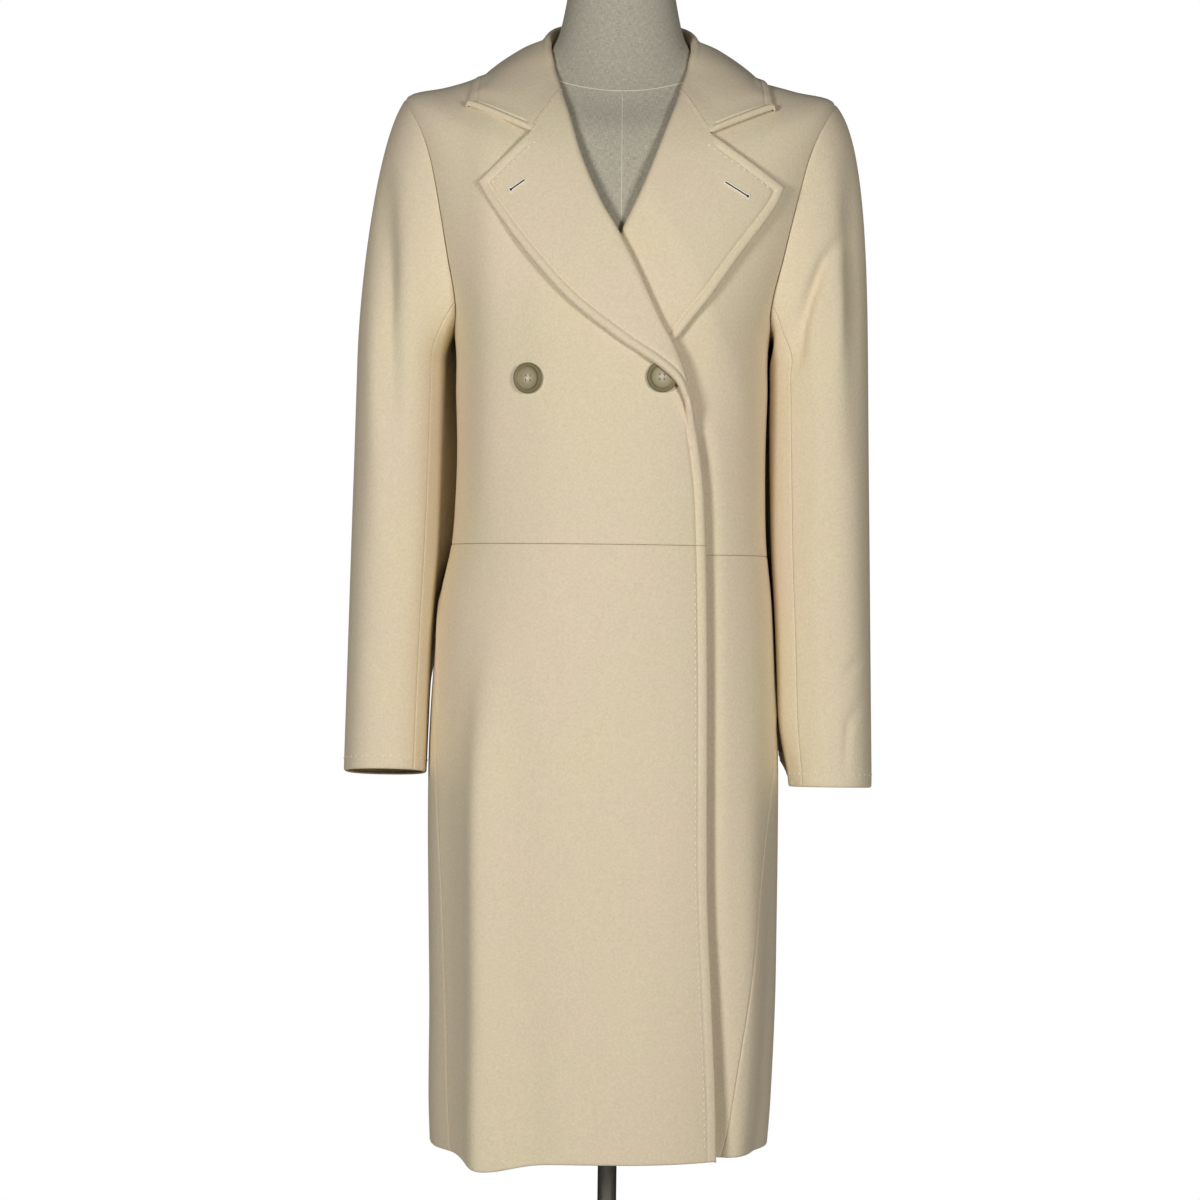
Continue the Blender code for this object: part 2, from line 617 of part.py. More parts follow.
class Section:
    """Points of a turned-over piece from the panel's edge round the roll to the free edge."""

    def __init__(self, place):
        self.place = place
        self.points = []
        self.normals = []

    def add(self, share, height, turn):
        """Add a point; turn runs from 0 under the roll to half a turn on the lapel's face."""
        step = 0.001
        point = self.place(share, height, 0.0)
        up = (self.place(share, height, step) - point).normalized()
        inward = (self.place(share + step, height, 0.0) - self.place(share - step, height, 0.0))
        inward = (inward - up * inward.dot(up)).normalized()
        self.points.append(point)
        self.normals.append((-up * cos(turn) - inward * sin(turn)).normalized())

    def roll(self, radius, scale, bends):
        """Half turn of cloth; scale turns a distance from the roll line into a share."""
        for k in range(bends):
            turn = pi * k / bends
            inward = CLOTH / 2 + radius * (1 - sin(turn))
            self.add(inward * scale, -CLOTH / 2 + radius * (1 - cos(turn)), turn)
        return (CLOTH / 2 + radius) * scale


def gorge_shift(top, notch, gap):
    """Small move square to the gorge seam, toward the lapel."""
    length = hypot(notch.x - top.x, notch.z - top.z)
    side = 1 if notch.x > 0 else -1
    return Outline(side * (notch.z - top.z) / length * gap, -side * (notch.x - top.x) / length * gap)


def shares_with(count, wanted):
    """Even shares up to 1, the nearest of them moved onto a wanted one."""
    shares = [k / count for k in range(1, count + 1)]
    nearest = min(range(count - 1), key=lambda k: abs(shares[k] - wanted))
    shares[nearest] = wanted
    return shares


def as_it_lies(height, x, z):
    return height


def gorge_share(top, notch, tip):
    """Share of the upper edge's length that the gorge seam takes."""
    seam = hypot(notch.x - top.x, notch.z - top.z)
    return seam / (seam + hypot(notch.x - tip.x, notch.z - tip.z))


def steepness(roll, z, start, end):
    """Sine of the angle between the roll line and a row across the lapel."""
    slope = roll_slope(roll, z)
    across = (end.x - start.x) - slope * (end.z - start.z)
    return abs(across) / hypot(1, slope) / hypot(end.x - start.x, end.z - start.z)


def no_step(x, z):
    return 0.0


def lapel(name, roll, notch, edge, step, rows, columns, ride):
    """Lapel turned over at the roll line and lying on the front."""
    top = Outline(edge_x(roll, GORGE_TOP_Z), GORGE_TOP_Z)
    top_edge = [top, notch, edge[0]]
    shift = gorge_shift(top, notch, GORGE_GAP / 2)
    flat = shares_with(columns, gorge_share(*top_edge))
    points = []
    normals = []
    for along in spread(0.0, 1.0, rows):
        roll_z = GORGE_TOP_Z + (BREAK_HEIGHT - GORGE_TOP_Z) * along
        start = Outline(edge_x(roll, roll_z), roll_z)
        end = curve_point(edge, along)
        breadth = hypot(end.x - start.x, end.z - start.z)
        fade = (1 - along) ** 2
        part = 1 - smooth_step(0.0, 0.1, along)

        def place(share, height, raised):
            corner = polyline(top_edge, share)
            straight_x = top.x + (edge[0].x - top.x) * share
            straight_z = top.z + (edge[0].z - top.z) * share
            x = start.x + (end.x - start.x) * share + (corner.x - straight_x) * fade
            z = start.z + (end.z - start.z) * share + (corner.z - straight_z) * fade
            height = ride(height, x, z) + raised
            return front_skin(x + shift.x * part, z + shift.z * part, height - step(x, z))

        steep = steepness(roll, roll_z, start, end if along > 0.15 else notch)
        section = Section(place)
        first = section.roll(roll_radius(roll_z), 1 / steep / breadth, 5)
        for share in flat:
            inner = first + (1 - first) * share
            section.add(inner, lapel_height(inner, roll_z), pi)
        points.append(section.points)
        normals.append(section.normals)
    return sheet(name, points, CLOTH, WOOL, normals)


def build_lapels():
    lapel("lapel_right", ROLL_RIGHT, LAPEL_RIGHT_NOTCH, LAPEL_RIGHT_EDGE, no_step, 15, 9,
          over_button)
    lapel("lapel_left", ROLL_LEFT, LAPEL_LEFT_NOTCH, LAPEL_LEFT_EDGE, under_step, 15, 9,
          as_it_lies)


# ---------------------------------------------------------------- collar
def body_tree():
    """Search tree over the body's outer surface, for laying pieces on it."""
    angles = spread(-pi, pi, 181)
    levels = spread(1.00, NECK_LEVEL, 121)
    points = [coat_point(angle, level) for level in levels for angle in angles]
    count = len(angles)
    faces = [(r * count + c, r * count + c + 1, (r + 1) * count + c + 1, (r + 1) * count + c)
             for r in range(len(levels) - 1) for c in range(count - 1)]
    return BVHTree.FromPolygons(points, faces)


def keep_above(tree, point, low, high):
    """Move a point so that it lies between two heights above the body."""
    place, normal, _, _ = tree.find_nearest(point)
    height = (point - place).dot(normal)
    if height < low:
        return place + normal * low
    if height > high:
        return place + normal * high
    return point


def collar_at(share):
    places = list(range(len(COLLAR)))
    return CollarStation(*(follow(places, [row[c] for row in COLLAR], share * places[-1])
                           for c in range(len(COLLAR[0]))))


def collar_section(share, rows):
    """Section of the collar round the neck, at a share of the way from the centre back."""
    here = collar_at(share)
    fold = Vector((here.fold_x, here.fold_y, here.fold_z))
    edge = Vector((here.edge_x, here.edge_y, here.edge_z))
    angle = radians(here.seam_angle)
    seam = coat_skin(angle, here.seam_level, -CLOTH / 2)
    up = (seam - coat_skin(angle, here.seam_level - 0.004, -CLOTH / 2)).normalized()
    rise = (fold - seam).normalized()
    seam += rise * (FACET_GAP + CLOTH / 2 * up.cross(rise).length)
    down = (edge - fold).normalized()
    inside = (seam - fold).normalized()
    crest = -(down + inside).normalized()
    outward = (down - inside).normalized()
    core = fold - crest * (LAPEL_ROLL + CLOTH / 2)
    row = [seam, seam.lerp(core - outward * LAPEL_ROLL, 0.5)]
    for k in range(5):
        turn = pi * k / 5
        row.append(core + crest * LAPEL_ROLL * sin(turn) - outward * LAPEL_ROLL * cos(turn))
    start = core + outward * LAPEL_ROLL
    for k in range(rows + 1):
        down_share = k / rows
        bulge = 4 * down_share * (1 - down_share) * 0.004
        row.append(start.lerp(edge, down_share) + outward * bulge)
    return row


def collar_on_front(share, rows):
    """Section of the collar where it lies on the front; the last runs along the gorge seam."""
    here = collar_at(share)
    top = Outline(edge_x(ROLL_LEFT, GORGE_TOP_Z), GORGE_TOP_Z)
    notch = LAPEL_LEFT_NOTCH
    start = Outline(edge_x(ROLL_LEFT, here.fold_z), here.fold_z)
    tip = Outline(here.edge_x, here.edge_z)
    seam_share = gorge_share(top, notch, COLLAR_TIP)
    bend = smooth_step(FRONT_SHARE, 1.0, share)
    straight = Outline(start.x + (tip.x - start.x) * seam_share, start.z + (tip.z - start.z) * seam_share)
    corner = Outline(straight.x + (notch.x + start.x - top.x - straight.x) * bend,
                     straight.z + (notch.z + start.z - top.z - straight.z) * bend)
    line = [start, corner, tip]
    breadth = hypot(corner.x - start.x, corner.z - start.z) / gorge_share(*line)
    part = 1 - smooth_step(0.0, 0.1, 1 - share)
    shift = gorge_shift(top, notch, -GORGE_GAP / 2 * part)

    def place(share, height, raised):
        spot = polyline(line, share)
        return front_skin(spot.x + shift.x, spot.z + shift.z, height + raised)

    section = Section(place)
    scale = 1 / steepness(ROLL_LEFT, here.fold_z, start, corner) / breadth
    first = section.roll(roll_radius(here.fold_z), scale, 7)
    for share in [0.0] + shares_with(rows, gorge_share(*line)):
        inner = first + (1 - first) * share
        section.add(inner, lapel_height(inner, GORGE_TOP_Z), pi)
    return section


def build_collar(tree, stations, rows):
    """Collar with its stand, turned over at the fold and lying on the shoulders."""
    half = []
    for share in spread(0.0, 1.0, stations):
        row = collar_section(share, rows)
        weight = smooth_step(FRONT_SHARE, 0.92, share)
        if weight > 0:
            section = collar_on_front(share, rows)
            row = [p.lerp(q, weight) for p, q in zip(row, section.points)]
        leaf = len(row) - rows
        for k in range(leaf, len(row)):
            row[k] = keep_above(tree, row[k], 0.0025, 0.0050 + 0.018 * (1 - weight))
        half.append(row)
    middle = [[mirrored(p) for p in row] for row in half[:0:-1]] + half
    normals = grid_normals(middle)
    sign = 1 if normals[-1][-2].dot(section.normals[-2]) > 0 else -1
    normals[-1] = [n * sign for n in section.normals]
    normals[0] = [mirrored(n) * sign for n in section.normals]
    return sheet("collar", middle, CLOTH, WOOL, normals)


def mirrored(vector):
    return Vector((-vector.x, vector.y, vector.z))


# ---------------------------------------------------------------- sleeves
def armhole_loop(side):
    """Loop round the armhole from the shoulder point by the front to the underarm and back.

    Each entry holds the point in the middle of the body's cloth and the cloth's normal.
    """
    sign = SLEEVE_SHIFT[side][0]
    loop = []
    levels = armhole_levels()
    for back, way in ((False, levels[:0:-1]), (True, levels[:-1])):
        facing = 1 if back else -1
        for level in way:
            angle = sign * (radians(90) + facing * armhole_angle(level, back))
            middle = coat_skin(angle, level, -CLOTH / 2)
            loop.append((middle, (coat_skin(angle, level) - middle).normalized()))
    return loop


def sleeve_ring_point(side, ring, turn):
    sign, shift = SLEEVE_SHIFT[side]
    power = 2 / 2.3
    x = sign * (ring.centre_x + ring.half_width * signed_power(cos(turn), power)) + shift
    y = ring.centre_y - ring.half_depth * signed_power(sin(turn), power)
    return Vector((x, y, ring.z))


def seam_start(loop, k, sign, leave):
    """Where the sleeve's cloth starts: turned about the body's outer edge at the seam."""
    middle, normal = loop[k]
    along = loop[(k + 1) % len(loop)][0] - loop[k - 1][0]
    away = along.cross(normal).normalized()
    if away.x * sign < 0:
        away = -away
    flat = Vector((leave.dot(away), leave.dot(normal), 0))
    flat = Vector((1, 0, 0)) if flat.y < 0 else flat.normalized()
    bend = Vector((flat.x + 1, flat.y, 0))
    bend = bend.normalized() if bend.length > 0.05 else Vector((0, 1, 0))
    corner = middle + normal * CLOTH / 2
    corner += (away * bend.x + normal * bend.y) * FACET_GAP
    return corner + (away * flat.y - normal * flat.x) * CLOTH / 2


def sleeve_grid(side, cap_rows, arm_rows):
    """Rows round a sleeve from the armhole to the cuff, the first point at the top."""
    sign = SLEEVE_SHIFT[side][0]
    loop = armhole_loop(side)
    count = len(loop)
    top_ring = SLEEVE_RINGS[0]
    out, up, longer = CAP_TOP[side]
    cap = []
    for k in range(count):
        turn = 2 * pi * k / count
        end = sleeve_ring_point(side, top_ring, turn)
        lift = (1 + cos(turn)) / 2
        leave = Vector((sign * (0.35 + out * lift), 0, -0.55 + up * lift)).normalized()
        start = seam_start(loop, k, sign, leave)
        reach = (end - start).length
        leave *= reach * (CAP_RISE + longer * lift)
        arrive = Vector((sign * 0.02, 0, -1)) * reach
        cap.append([(2 * s ** 3 - 3 * s ** 2 + 1) * start + (s ** 3 - 2 * s ** 2 + s) * leave
                    + (3 * s ** 2 - 2 * s ** 3) * end + (s ** 3 - s ** 2) * arrive
                    for s in [row / cap_rows for row in range(cap_rows)]])
    rows = [[cap[k][row] for k in range(count)] for row in range(cap_rows)]
    cuff = CUFF_Z[side]
    for z in spread(top_ring.z, cuff, arm_rows):
        ring = follow_rows(SLEEVE_RINGS[::-1], "z", z)
        slant = CUFF_SLANT[side] * smooth_step(top_ring.z, cuff, z)
        line = []
        for k in range(count):
            point = sleeve_ring_point(side, ring, 2 * pi * k / count)
            lean = -(point.y - ring.centre_y) / ring.half_depth
            line.append(Vector((point.x, point.y, z + slant * lean)))
        rows.append(line)
    return rows


def tube_normals(rows, sign):
    """Outward normals of rows of closed rings."""
    count = len(rows[0])
    normals = []
    for r in range(len(rows)):
        line = []
        for k in range(count):
            round_way = rows[r][(k + 1) % count] - rows[r][k - 1]
            down = rows[min(r + 1, len(rows) - 1)][k] - rows[max(r - 1, 0)][k]
            line.append(round_way.cross(down).normalized() * sign)
        normals.append(line)
    return normals


def build_sleeve(side):
    """Top sleeve and under sleeve: two walls that meet at the fore and the hind seam."""
    rows = sleeve_grid(side, 8, 8)
    count = len(rows[0])
    sign = SLEEVE_SHIFT[side][0]
    normals = tube_normals(rows, sign)
    fore_seam = round(count * FORE_SEAM)
    hind_seam = round(count * HIND_SEAM)
    pieces = (("sleeve_under_", fore_seam, hind_seam), ("sleeve_top_", hind_seam, fore_seam + count))
    for name, start, stop in pieces:
        outer = []
        inner = []
        for line, line_normals in zip(rows, normals):
            middle = [line[k % count] for k in range(start, stop + 1)]
            facing = [line_normals[k % count] for k in range(start, stop + 1)]
            shift = [Vector((0, 0, 0)) for _ in middle]
            shift[0] = (middle[1] - middle[0]).normalized() * SEAM_GAP / 2
            shift[-1] = (middle[-2] - middle[-1]).normalized() * SEAM_GAP / 2
            outer.append([p + d + n * CLOTH / 2 for p, d, n in zip(middle, shift, facing)])
            inner.append([p + d - n * CLOTH / 2 for p, d, n in zip(middle, shift, facing)])
        wall(name + side, outer, inner, WOOL)


# ---------------------------------------------------------------- buttons
def build_button(name, spot):
    """Button with a raised rim, lying on the outer front."""
    angle, level = level_at(spot.x, spot.z)
    seat = coat_skin(angle, level, SEAM_GAP)
    normal = (coat_skin(angle, level, 0.01) - seat).normalized()
    radius = BUTTON_DIAMETER / 2
    rim = 0.0030
    dish = 0.0012
    profile = [(0.0, 0.0), (radius * 0.72, 0.0), (radius, 0.0016), (radius, 0.0030),
               (radius - 0.0008, BUTTON_THICKNESS), (radius - rim, BUTTON_THICKNESS),
               (radius - rim - 0.0012, BUTTON_THICKNESS - dish), (0.0, BUTTON_THICKNESS - dish)]
    sides = 24
    bm = bmesh.new()
    rings = []
    for reach, height in profile:
        if reach == 0:
            rings.append([bm.verts.new((0, 0, height))])
            continue
        rings.append([bm.verts.new((reach * cos(2 * pi * k / sides),
                                    reach * sin(2 * pi * k / sides), height))
                      for k in range(sides)])
    skin_rings(bm, rings)
    body = finish(name, bm, HORN)
    body.rotation_mode = "QUATERNION"
    body.rotation_quaternion = normal.to_track_quat("Z", "Y")
    body.location = seat
    return body


def build_buttons():
    build_button("button_outer", BUTTON_OUTER)
    build_button("button_inner", BUTTON_INNER)


# ---------------------------------------------------------------- dress form and stand
def build_form():
    """Limbless torso with its neck, carrying the coat on its shoulders."""
    sides = 36
    angles = [2 * pi * k / sides for k in range(sides)]
    loops = []
    for place in [ring.level for ring in FORM_RINGS[:2]] + spread(0.735, FORM_RINGS[-1].level, 12):
        ring = follow_rows(FORM_RINGS, "level", place)
        loops.append([ring_point(ring, angle) for angle in angles])
    for level in FORM_SHOULDER_LEVELS:
        loops.append([coat_skin(angle, level, -CLOTH - REST_GAP) for angle in angles])
    loops += [[ring_point(ring, angle) for angle in angles] for ring in FORM_NECK_RINGS]
    bm = bmesh.new()
    rings = [[bm.verts.new((0, 0, FORM_BOTTOM))]]
    for loop in loops:
        rings.append([bm.verts.new(point) for point in loop])
    rings.append([bm.verts.new((0, 0, FORM_NECK_TOP))])
    skin_rings(bm, rings)
    bmesh.ops.triangulate(bm, faces=bm.faces)
    finish("form_torso", bm, LINEN)


def build_stand():
    """Weighted round base, pole and the socket under the form, all turned."""
    radius = POLE_DIAMETER / 2
    bore = radius + SEAM_GAP
    boss_top = BASE_THICKNESS + 0.035
    bore_floor = BASE_THICKNESS
    base = [(0, 0), (BASE_DIAMETER / 2 - 0.002, 0), (BASE_DIAMETER / 2, 0.002),
            (BASE_DIAMETER / 2, BASE_THICKNESS - 0.004), (BASE_DIAMETER / 2 - 0.004, BASE_THICKNESS),
            (0.024, BASE_THICKNESS + 0.002), (0.019, BASE_THICKNESS + 0.006), (0.018, boss_top),
            (bore, boss_top), (bore, bore_floor), (0, bore_floor)]
    turned("stand_base", base, STEEL, 48)
    socket_top = FORM_BOTTOM - SEAM_GAP
    socket_bottom = socket_top - 0.045
    bore_top = socket_top - 0.008
    turned("pole", [(0, bore_floor + SEAM_GAP), (radius, bore_floor + SEAM_GAP),
                    (radius, bore_top - SEAM_GAP), (0, bore_top - SEAM_GAP)], STEEL, 32)
    socket = [(0, bore_top), (bore, bore_top), (bore, socket_bottom), (0.015, socket_bottom),
              (0.016, socket_top - 0.008), (0.045, socket_top - 0.005), (0.045, socket_top),
              (0, socket_top)]
    turned("pole_socket", socket, STEEL, 40)


def build():
    for old in list(bpy.data.objects):
        bpy.data.objects.remove(old, do_unlink=True)
    build_panels()
    build_lapels()
    build_collar(body_tree(), 17, 7)
    for side in ("right", "left"):
        build_sleeve(side)
    build_buttons()
    build_form()
    build_stand()


build()
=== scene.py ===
"""A knee-length double-breasted coat in felted wool on a linen-covered dress form."""
from math import cos, pi, radians, sin

import bmesh
import bpy
import numpy as np
from mathutils import Matrix, Vector
from mathutils.bvhtree import BVHTree


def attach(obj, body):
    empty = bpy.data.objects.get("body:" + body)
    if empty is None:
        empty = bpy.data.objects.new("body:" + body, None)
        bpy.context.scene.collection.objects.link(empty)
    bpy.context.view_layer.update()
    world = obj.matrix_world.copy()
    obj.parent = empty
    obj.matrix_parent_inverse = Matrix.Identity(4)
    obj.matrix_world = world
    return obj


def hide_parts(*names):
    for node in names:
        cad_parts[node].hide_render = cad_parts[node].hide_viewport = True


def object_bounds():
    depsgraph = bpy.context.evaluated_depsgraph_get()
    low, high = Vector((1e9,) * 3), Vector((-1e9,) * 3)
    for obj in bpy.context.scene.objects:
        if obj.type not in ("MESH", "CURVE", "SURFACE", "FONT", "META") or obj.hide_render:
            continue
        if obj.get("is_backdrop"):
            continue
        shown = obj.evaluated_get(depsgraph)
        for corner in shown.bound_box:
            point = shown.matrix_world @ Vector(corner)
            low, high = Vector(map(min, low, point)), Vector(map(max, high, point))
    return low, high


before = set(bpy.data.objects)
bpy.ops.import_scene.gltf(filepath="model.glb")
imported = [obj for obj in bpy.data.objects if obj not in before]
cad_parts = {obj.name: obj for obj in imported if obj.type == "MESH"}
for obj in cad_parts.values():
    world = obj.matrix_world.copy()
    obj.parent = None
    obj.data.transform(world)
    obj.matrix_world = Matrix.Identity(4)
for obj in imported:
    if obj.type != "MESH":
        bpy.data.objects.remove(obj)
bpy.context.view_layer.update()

# ---------------------------------------------------------------- studio
# A pale painted floor and a white background, lit by two large soft lamps at chest height,
# one to each side of the camera, and a weaker one behind the coat. The camera is level, at
# the height of the coat's waist.
CAMERA_AT = Vector((-0.0135, -3.0, 0.90))
VIEW_WIDTH = 1.14           # breadth of the picture at the coat's centre
CAMERA_ROLL = radians(-0.716)
SENSOR = 36.0               # mm


def linear(code):
    """Linear red, green and blue of an sRGB hex colour, with an alpha of one."""
    parts = [int(code[k:k + 2], 16) / 255 for k in (0, 2, 4)]
    return (*(c / 12.92 if c <= 0.04045 else ((c + 0.055) / 1.055) ** 2.4 for c in parts), 1)


def set_inputs(tree, node, inputs):
    """Give a node's inputs their values or linked sockets; in0, in1 and in2 count them."""
    for key, value in inputs.items():
        counted = key.startswith("in") and key[2:].isdigit()
        socket = node.inputs[int(key[2:]) if counted else key.replace("_", " ")]
        if isinstance(value, bpy.types.NodeSocket):
            tree.links.new(value, socket)
        else:
            socket.default_value = value


def add_node(tree, kind, settings=None, **inputs):
    """Add a shader node: settings are its properties, inputs are values or linked sockets."""
    node = tree.nodes.new(kind)
    for key, value in (settings or {}).items():
        setattr(node, key, value)
    set_inputs(tree, node, inputs)
    return node


def new_material(name):
    made = bpy.data.materials.new(name)
    made.use_nodes = True
    return made, made.node_tree, made.node_tree.nodes["Principled BSDF"]


def placed(name, data):
    made = bpy.data.objects.new(name, data)
    bpy.context.scene.collection.objects.link(made)
    return made


def mesh_object(name, bm, look):
    mesh = bpy.data.meshes.new(name)
    bm.to_mesh(mesh)
    bm.free()
    mesh.shade_smooth()
    mesh.materials.append(look)
    return placed(name, mesh)


camera = placed("camera", bpy.data.cameras.new("camera"))
camera.data.sensor_width = SENSOR
camera.data.lens = SENSOR * -CAMERA_AT.y / VIEW_WIDTH
camera.location = CAMERA_AT
camera.rotation_euler = (radians(90), CAMERA_ROLL, 0)
bpy.context.scene.camera = camera

FLOOR_RADIUS = 1.45
floor_mesh = bmesh.new()
bmesh.ops.create_circle(floor_mesh, cap_ends=True, radius=FLOOR_RADIUS, segments=96)
painted, tree, shader = new_material("pale_painted_floor")
set_inputs(tree, shader, {"Base Color": linear("CFCDC9"), "Roughness": 0.7})
floor = mesh_object("floor", floor_mesh, painted)
floor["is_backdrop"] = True


def soft_lamp(name, place, target, size, watts):
    lamp = bpy.data.lights.new(name, "AREA")
    lamp.shape = "DISK"
    lamp.size = size
    lamp.energy = watts
    holder = placed(name, lamp)
    holder.location = place
    holder.rotation_euler = (Vector(target) - Vector(place)).to_track_quat("-Z", "Y").to_euler()


soft_lamp("key_lamp", (-1.20, -2.20, 1.22), (0, 0, 1.12), 0.6, 29.5)
soft_lamp("fill_lamp", (1.20, -2.20, 1.18), (0, 0, 1.12), 0.6, 24)
soft_lamp("back_lamp", (0.3, 3.0, 1.2), (0, 0, 0.9), 1.4, 22)
world = bpy.data.worlds.new("white_room")
bpy.context.scene.world = world
world.use_nodes = True
tree = world.node_tree
room = tree.nodes["Background"]
set_inputs(tree, room, {"Color": (1, 0.985, 0.96, 1), "Strength": 0.016})
backdrop = add_node(tree, "ShaderNodeBackground", Color=(1, 1, 1, 1), Strength=1.0)
seen = add_node(tree, "ShaderNodeLightPath").outputs["Is Camera Ray"]
mixed = add_node(tree, "ShaderNodeMixShader", in0=seen, in1=room.outputs[0],
                 in2=backdrop.outputs[0])
tree.links.new(mixed.outputs[0], tree.nodes["World Output"].inputs["Surface"])
bpy.context.scene.view_settings.view_transform = "Standard"

# ---------------------------------------------------------------- stand
# A round weighted foot, a tube and the socket that carries the form, all of turned steel
# with a satin plating. The fine rings and draws of the polishing wheel give a soft streak.


def noise(tree, place, scale, detail, **inputs):
    made = add_node(tree, "ShaderNodeTexNoise", Vector=place, Scale=scale, Detail=detail, **inputs)
    return made.outputs["Fac"]


def own_place(tree, kind="Object"):
    """Coordinates of a piece: metres in the shared frame, or its plan as UV."""
    return add_node(tree, "ShaderNodeTexCoord").outputs[kind]


def stretched(tree, place, scale):
    return add_node(tree, "ShaderNodeMapping", Vector=place, Scale=scale).outputs[0]


def set_surface(tree, shader, height, strength, depth, **inputs):
    """Set the shader's inputs, and let a height raise its surface by up to a depth in metres."""
    relief = add_node(tree, "ShaderNodeBump", Height=height, Strength=strength, Distance=depth)
    set_inputs(tree, shader, {"Normal": relief.outputs[0], **inputs})


def satin_steel(name, stretch):
    """Steel with fine lines; the stretch is how many of them a metre holds along x, y and z."""
    made, tree, shader = new_material(name)
    lines = noise(tree, stretched(tree, own_place(tree), stretch), 1.0, 4.0)
    tone = add_node(tree, "ShaderNodeMix", {"data_type": "RGBA"}, in0=lines, A=linear("8C8A80"),
                    B=linear("B4B2A8"))
    rough = add_node(tree, "ShaderNodeMapRange", Value=lines, To_Min=0.26, To_Max=0.42)
    set_surface(tree, shader, lines, 0.25, 0.0001, Base_Color=tone.outputs["Result"],
                Roughness=rough.outputs[0], Metallic=1.0)
    return made


# Lines 1.1 mm apart and 83 mm long down the pole, and rings 0.8 mm apart on the turned pieces.
drawn_steel = satin_steel("satin_drawn_steel", (900, 900, 12))
turned_steel = satin_steel("satin_turned_steel", (60, 60, 1200))
SMOOTH_UNDER = radians(30)  # edges steeper than this stay sharp
for name, look in (("pole", drawn_steel), ("pole_socket", turned_steel),
                   ("stand_base", turned_steel)):
    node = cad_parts[name]
    node.data.materials.clear()
    node.data.materials.append(look)
    for face in node.data.polygons:
        face.use_smooth = True
    node.data.set_sharp_from_angle(angle=SMOOTH_UNDER)

# ---------------------------------------------------------------- the coat's body surface
# The body of the coat is cut in eight panels of felted wool, 1.6 mm thick, joined at the
# centre back, the sides and the waist. Each ring is one level round the body; over the
# shoulders its sides stand higher than its front and back.
CLOTH = 0.0030
NECK_LEVEL = 1.400
SHOULDER_LEVEL = 1.320
UNDERARM_LEVEL = 1.150
HEM = 0.387
BREAK_HEIGHT = 1.085


def rings(level_rows, shaped_rows=()):
    """Table of rings: level ones are written without their heights at side, front and back."""
    return np.array([(row[0],) * 3 + row for row in level_rows] + list(shaped_rows))


COAT_RINGS = rings((
    # level, half_width, front_depth, back_depth, centre_x, squareness
    (0.387, 0.1600, 0.138, 0.128, -0.0085, 2.30),
    (0.430, 0.1622, 0.137, 0.127, -0.0080, 2.30),
    (0.520, 0.1640, 0.136, 0.126, -0.0066, 2.30),
    (0.600, 0.1651, 0.135, 0.125, -0.0072, 2.30),
    (0.690, 0.1660, 0.133, 0.124, -0.0081, 2.30),
    (0.760, 0.1655, 0.131, 0.121, -0.0085, 2.28),
    (0.824, 0.1624, 0.128, 0.116, -0.0088, 2.25),
    (0.900, 0.1572, 0.124, 0.109, -0.0080, 2.22),
    (0.952, 0.1492, 0.122, 0.105, -0.0056, 2.20),
    (0.995, 0.1468, 0.123, 0.104, -0.0048, 2.20),
    (1.040, 0.1460, 0.126, 0.106, -0.0044, 2.20),
), (
    # level, side_z, front_z, back_z, half_width, front_depth, back_depth, centre_x, squareness
    (1.090, 1.090, 1.088, 1.090, 0.1474, 0.129, 0.110, -0.0046, 2.20),
    (1.150, 1.150, 1.142, 1.150, 0.1500, 0.131, 0.114, -0.0048, 2.22),
    (1.220, 1.235, 1.205, 1.225, 0.1770, 0.128, 0.115, -0.0030, 2.25),
    (1.280, 1.315, 1.262, 1.292, 0.1975, 0.119, 0.111, -0.0010, 2.25),
    (1.320, 1.372, 1.303, 1.345, 0.2040, 0.108, 0.103, 0.0000, 2.25),
    (1.345, 1.384, 1.327, 1.376, 0.1650, 0.098, 0.097, 0.0000, 2.20),
    (1.370, 1.395, 1.347, 1.402, 0.1230, 0.086, 0.089, 0.0000, 2.20),
    (1.400, 1.410, 1.366, 1.425, 0.0720, 0.069, 0.076, 0.0000, 2.20),
))
BODY_FOLDS = np.array([
    # angle from the centre front to the wearer's left, spread, height, fade level, full level
    (-38, 8, 0.0130, 0.900, 0.700), (-20, 7, -0.0030, 0.640, 0.450),
    (-60, 9, -0.0050, 0.900, 0.640), (52, 9, 0.0040, 0.860, 0.560),
    (72, 9, -0.0045, 0.800, 0.480), (112, 10, 0.0050, 0.880, 0.520),
    (137, 10, -0.0055, 0.860, 0.480), (160, 9, 0.0050, 0.800, 0.460),
    (-112, 10, 0.0055, 0.860, 0.540), (-139, 9, -0.0050, 0.840, 0.480),
    (-163, 10, 0.0045, 0.780, 0.440),
])
HEM_DIP, HEM_DIP_ANGLE, HEM_DIP_SPREAD, HEM_DIP_FADE = 0.010, -36, 14, 0.120


def hermite(s, start, leave, end, arrive):
    """Points of a curve from start to end, with its speeds where it leaves and arrives."""
    return ((2 * s ** 3 - 3 * s ** 2 + 1) * start + (s ** 3 - 2 * s ** 2 + s) * leave
            + (3 * s ** 2 - 2 * s ** 3) * end + (s ** 3 - s ** 2) * arrive)


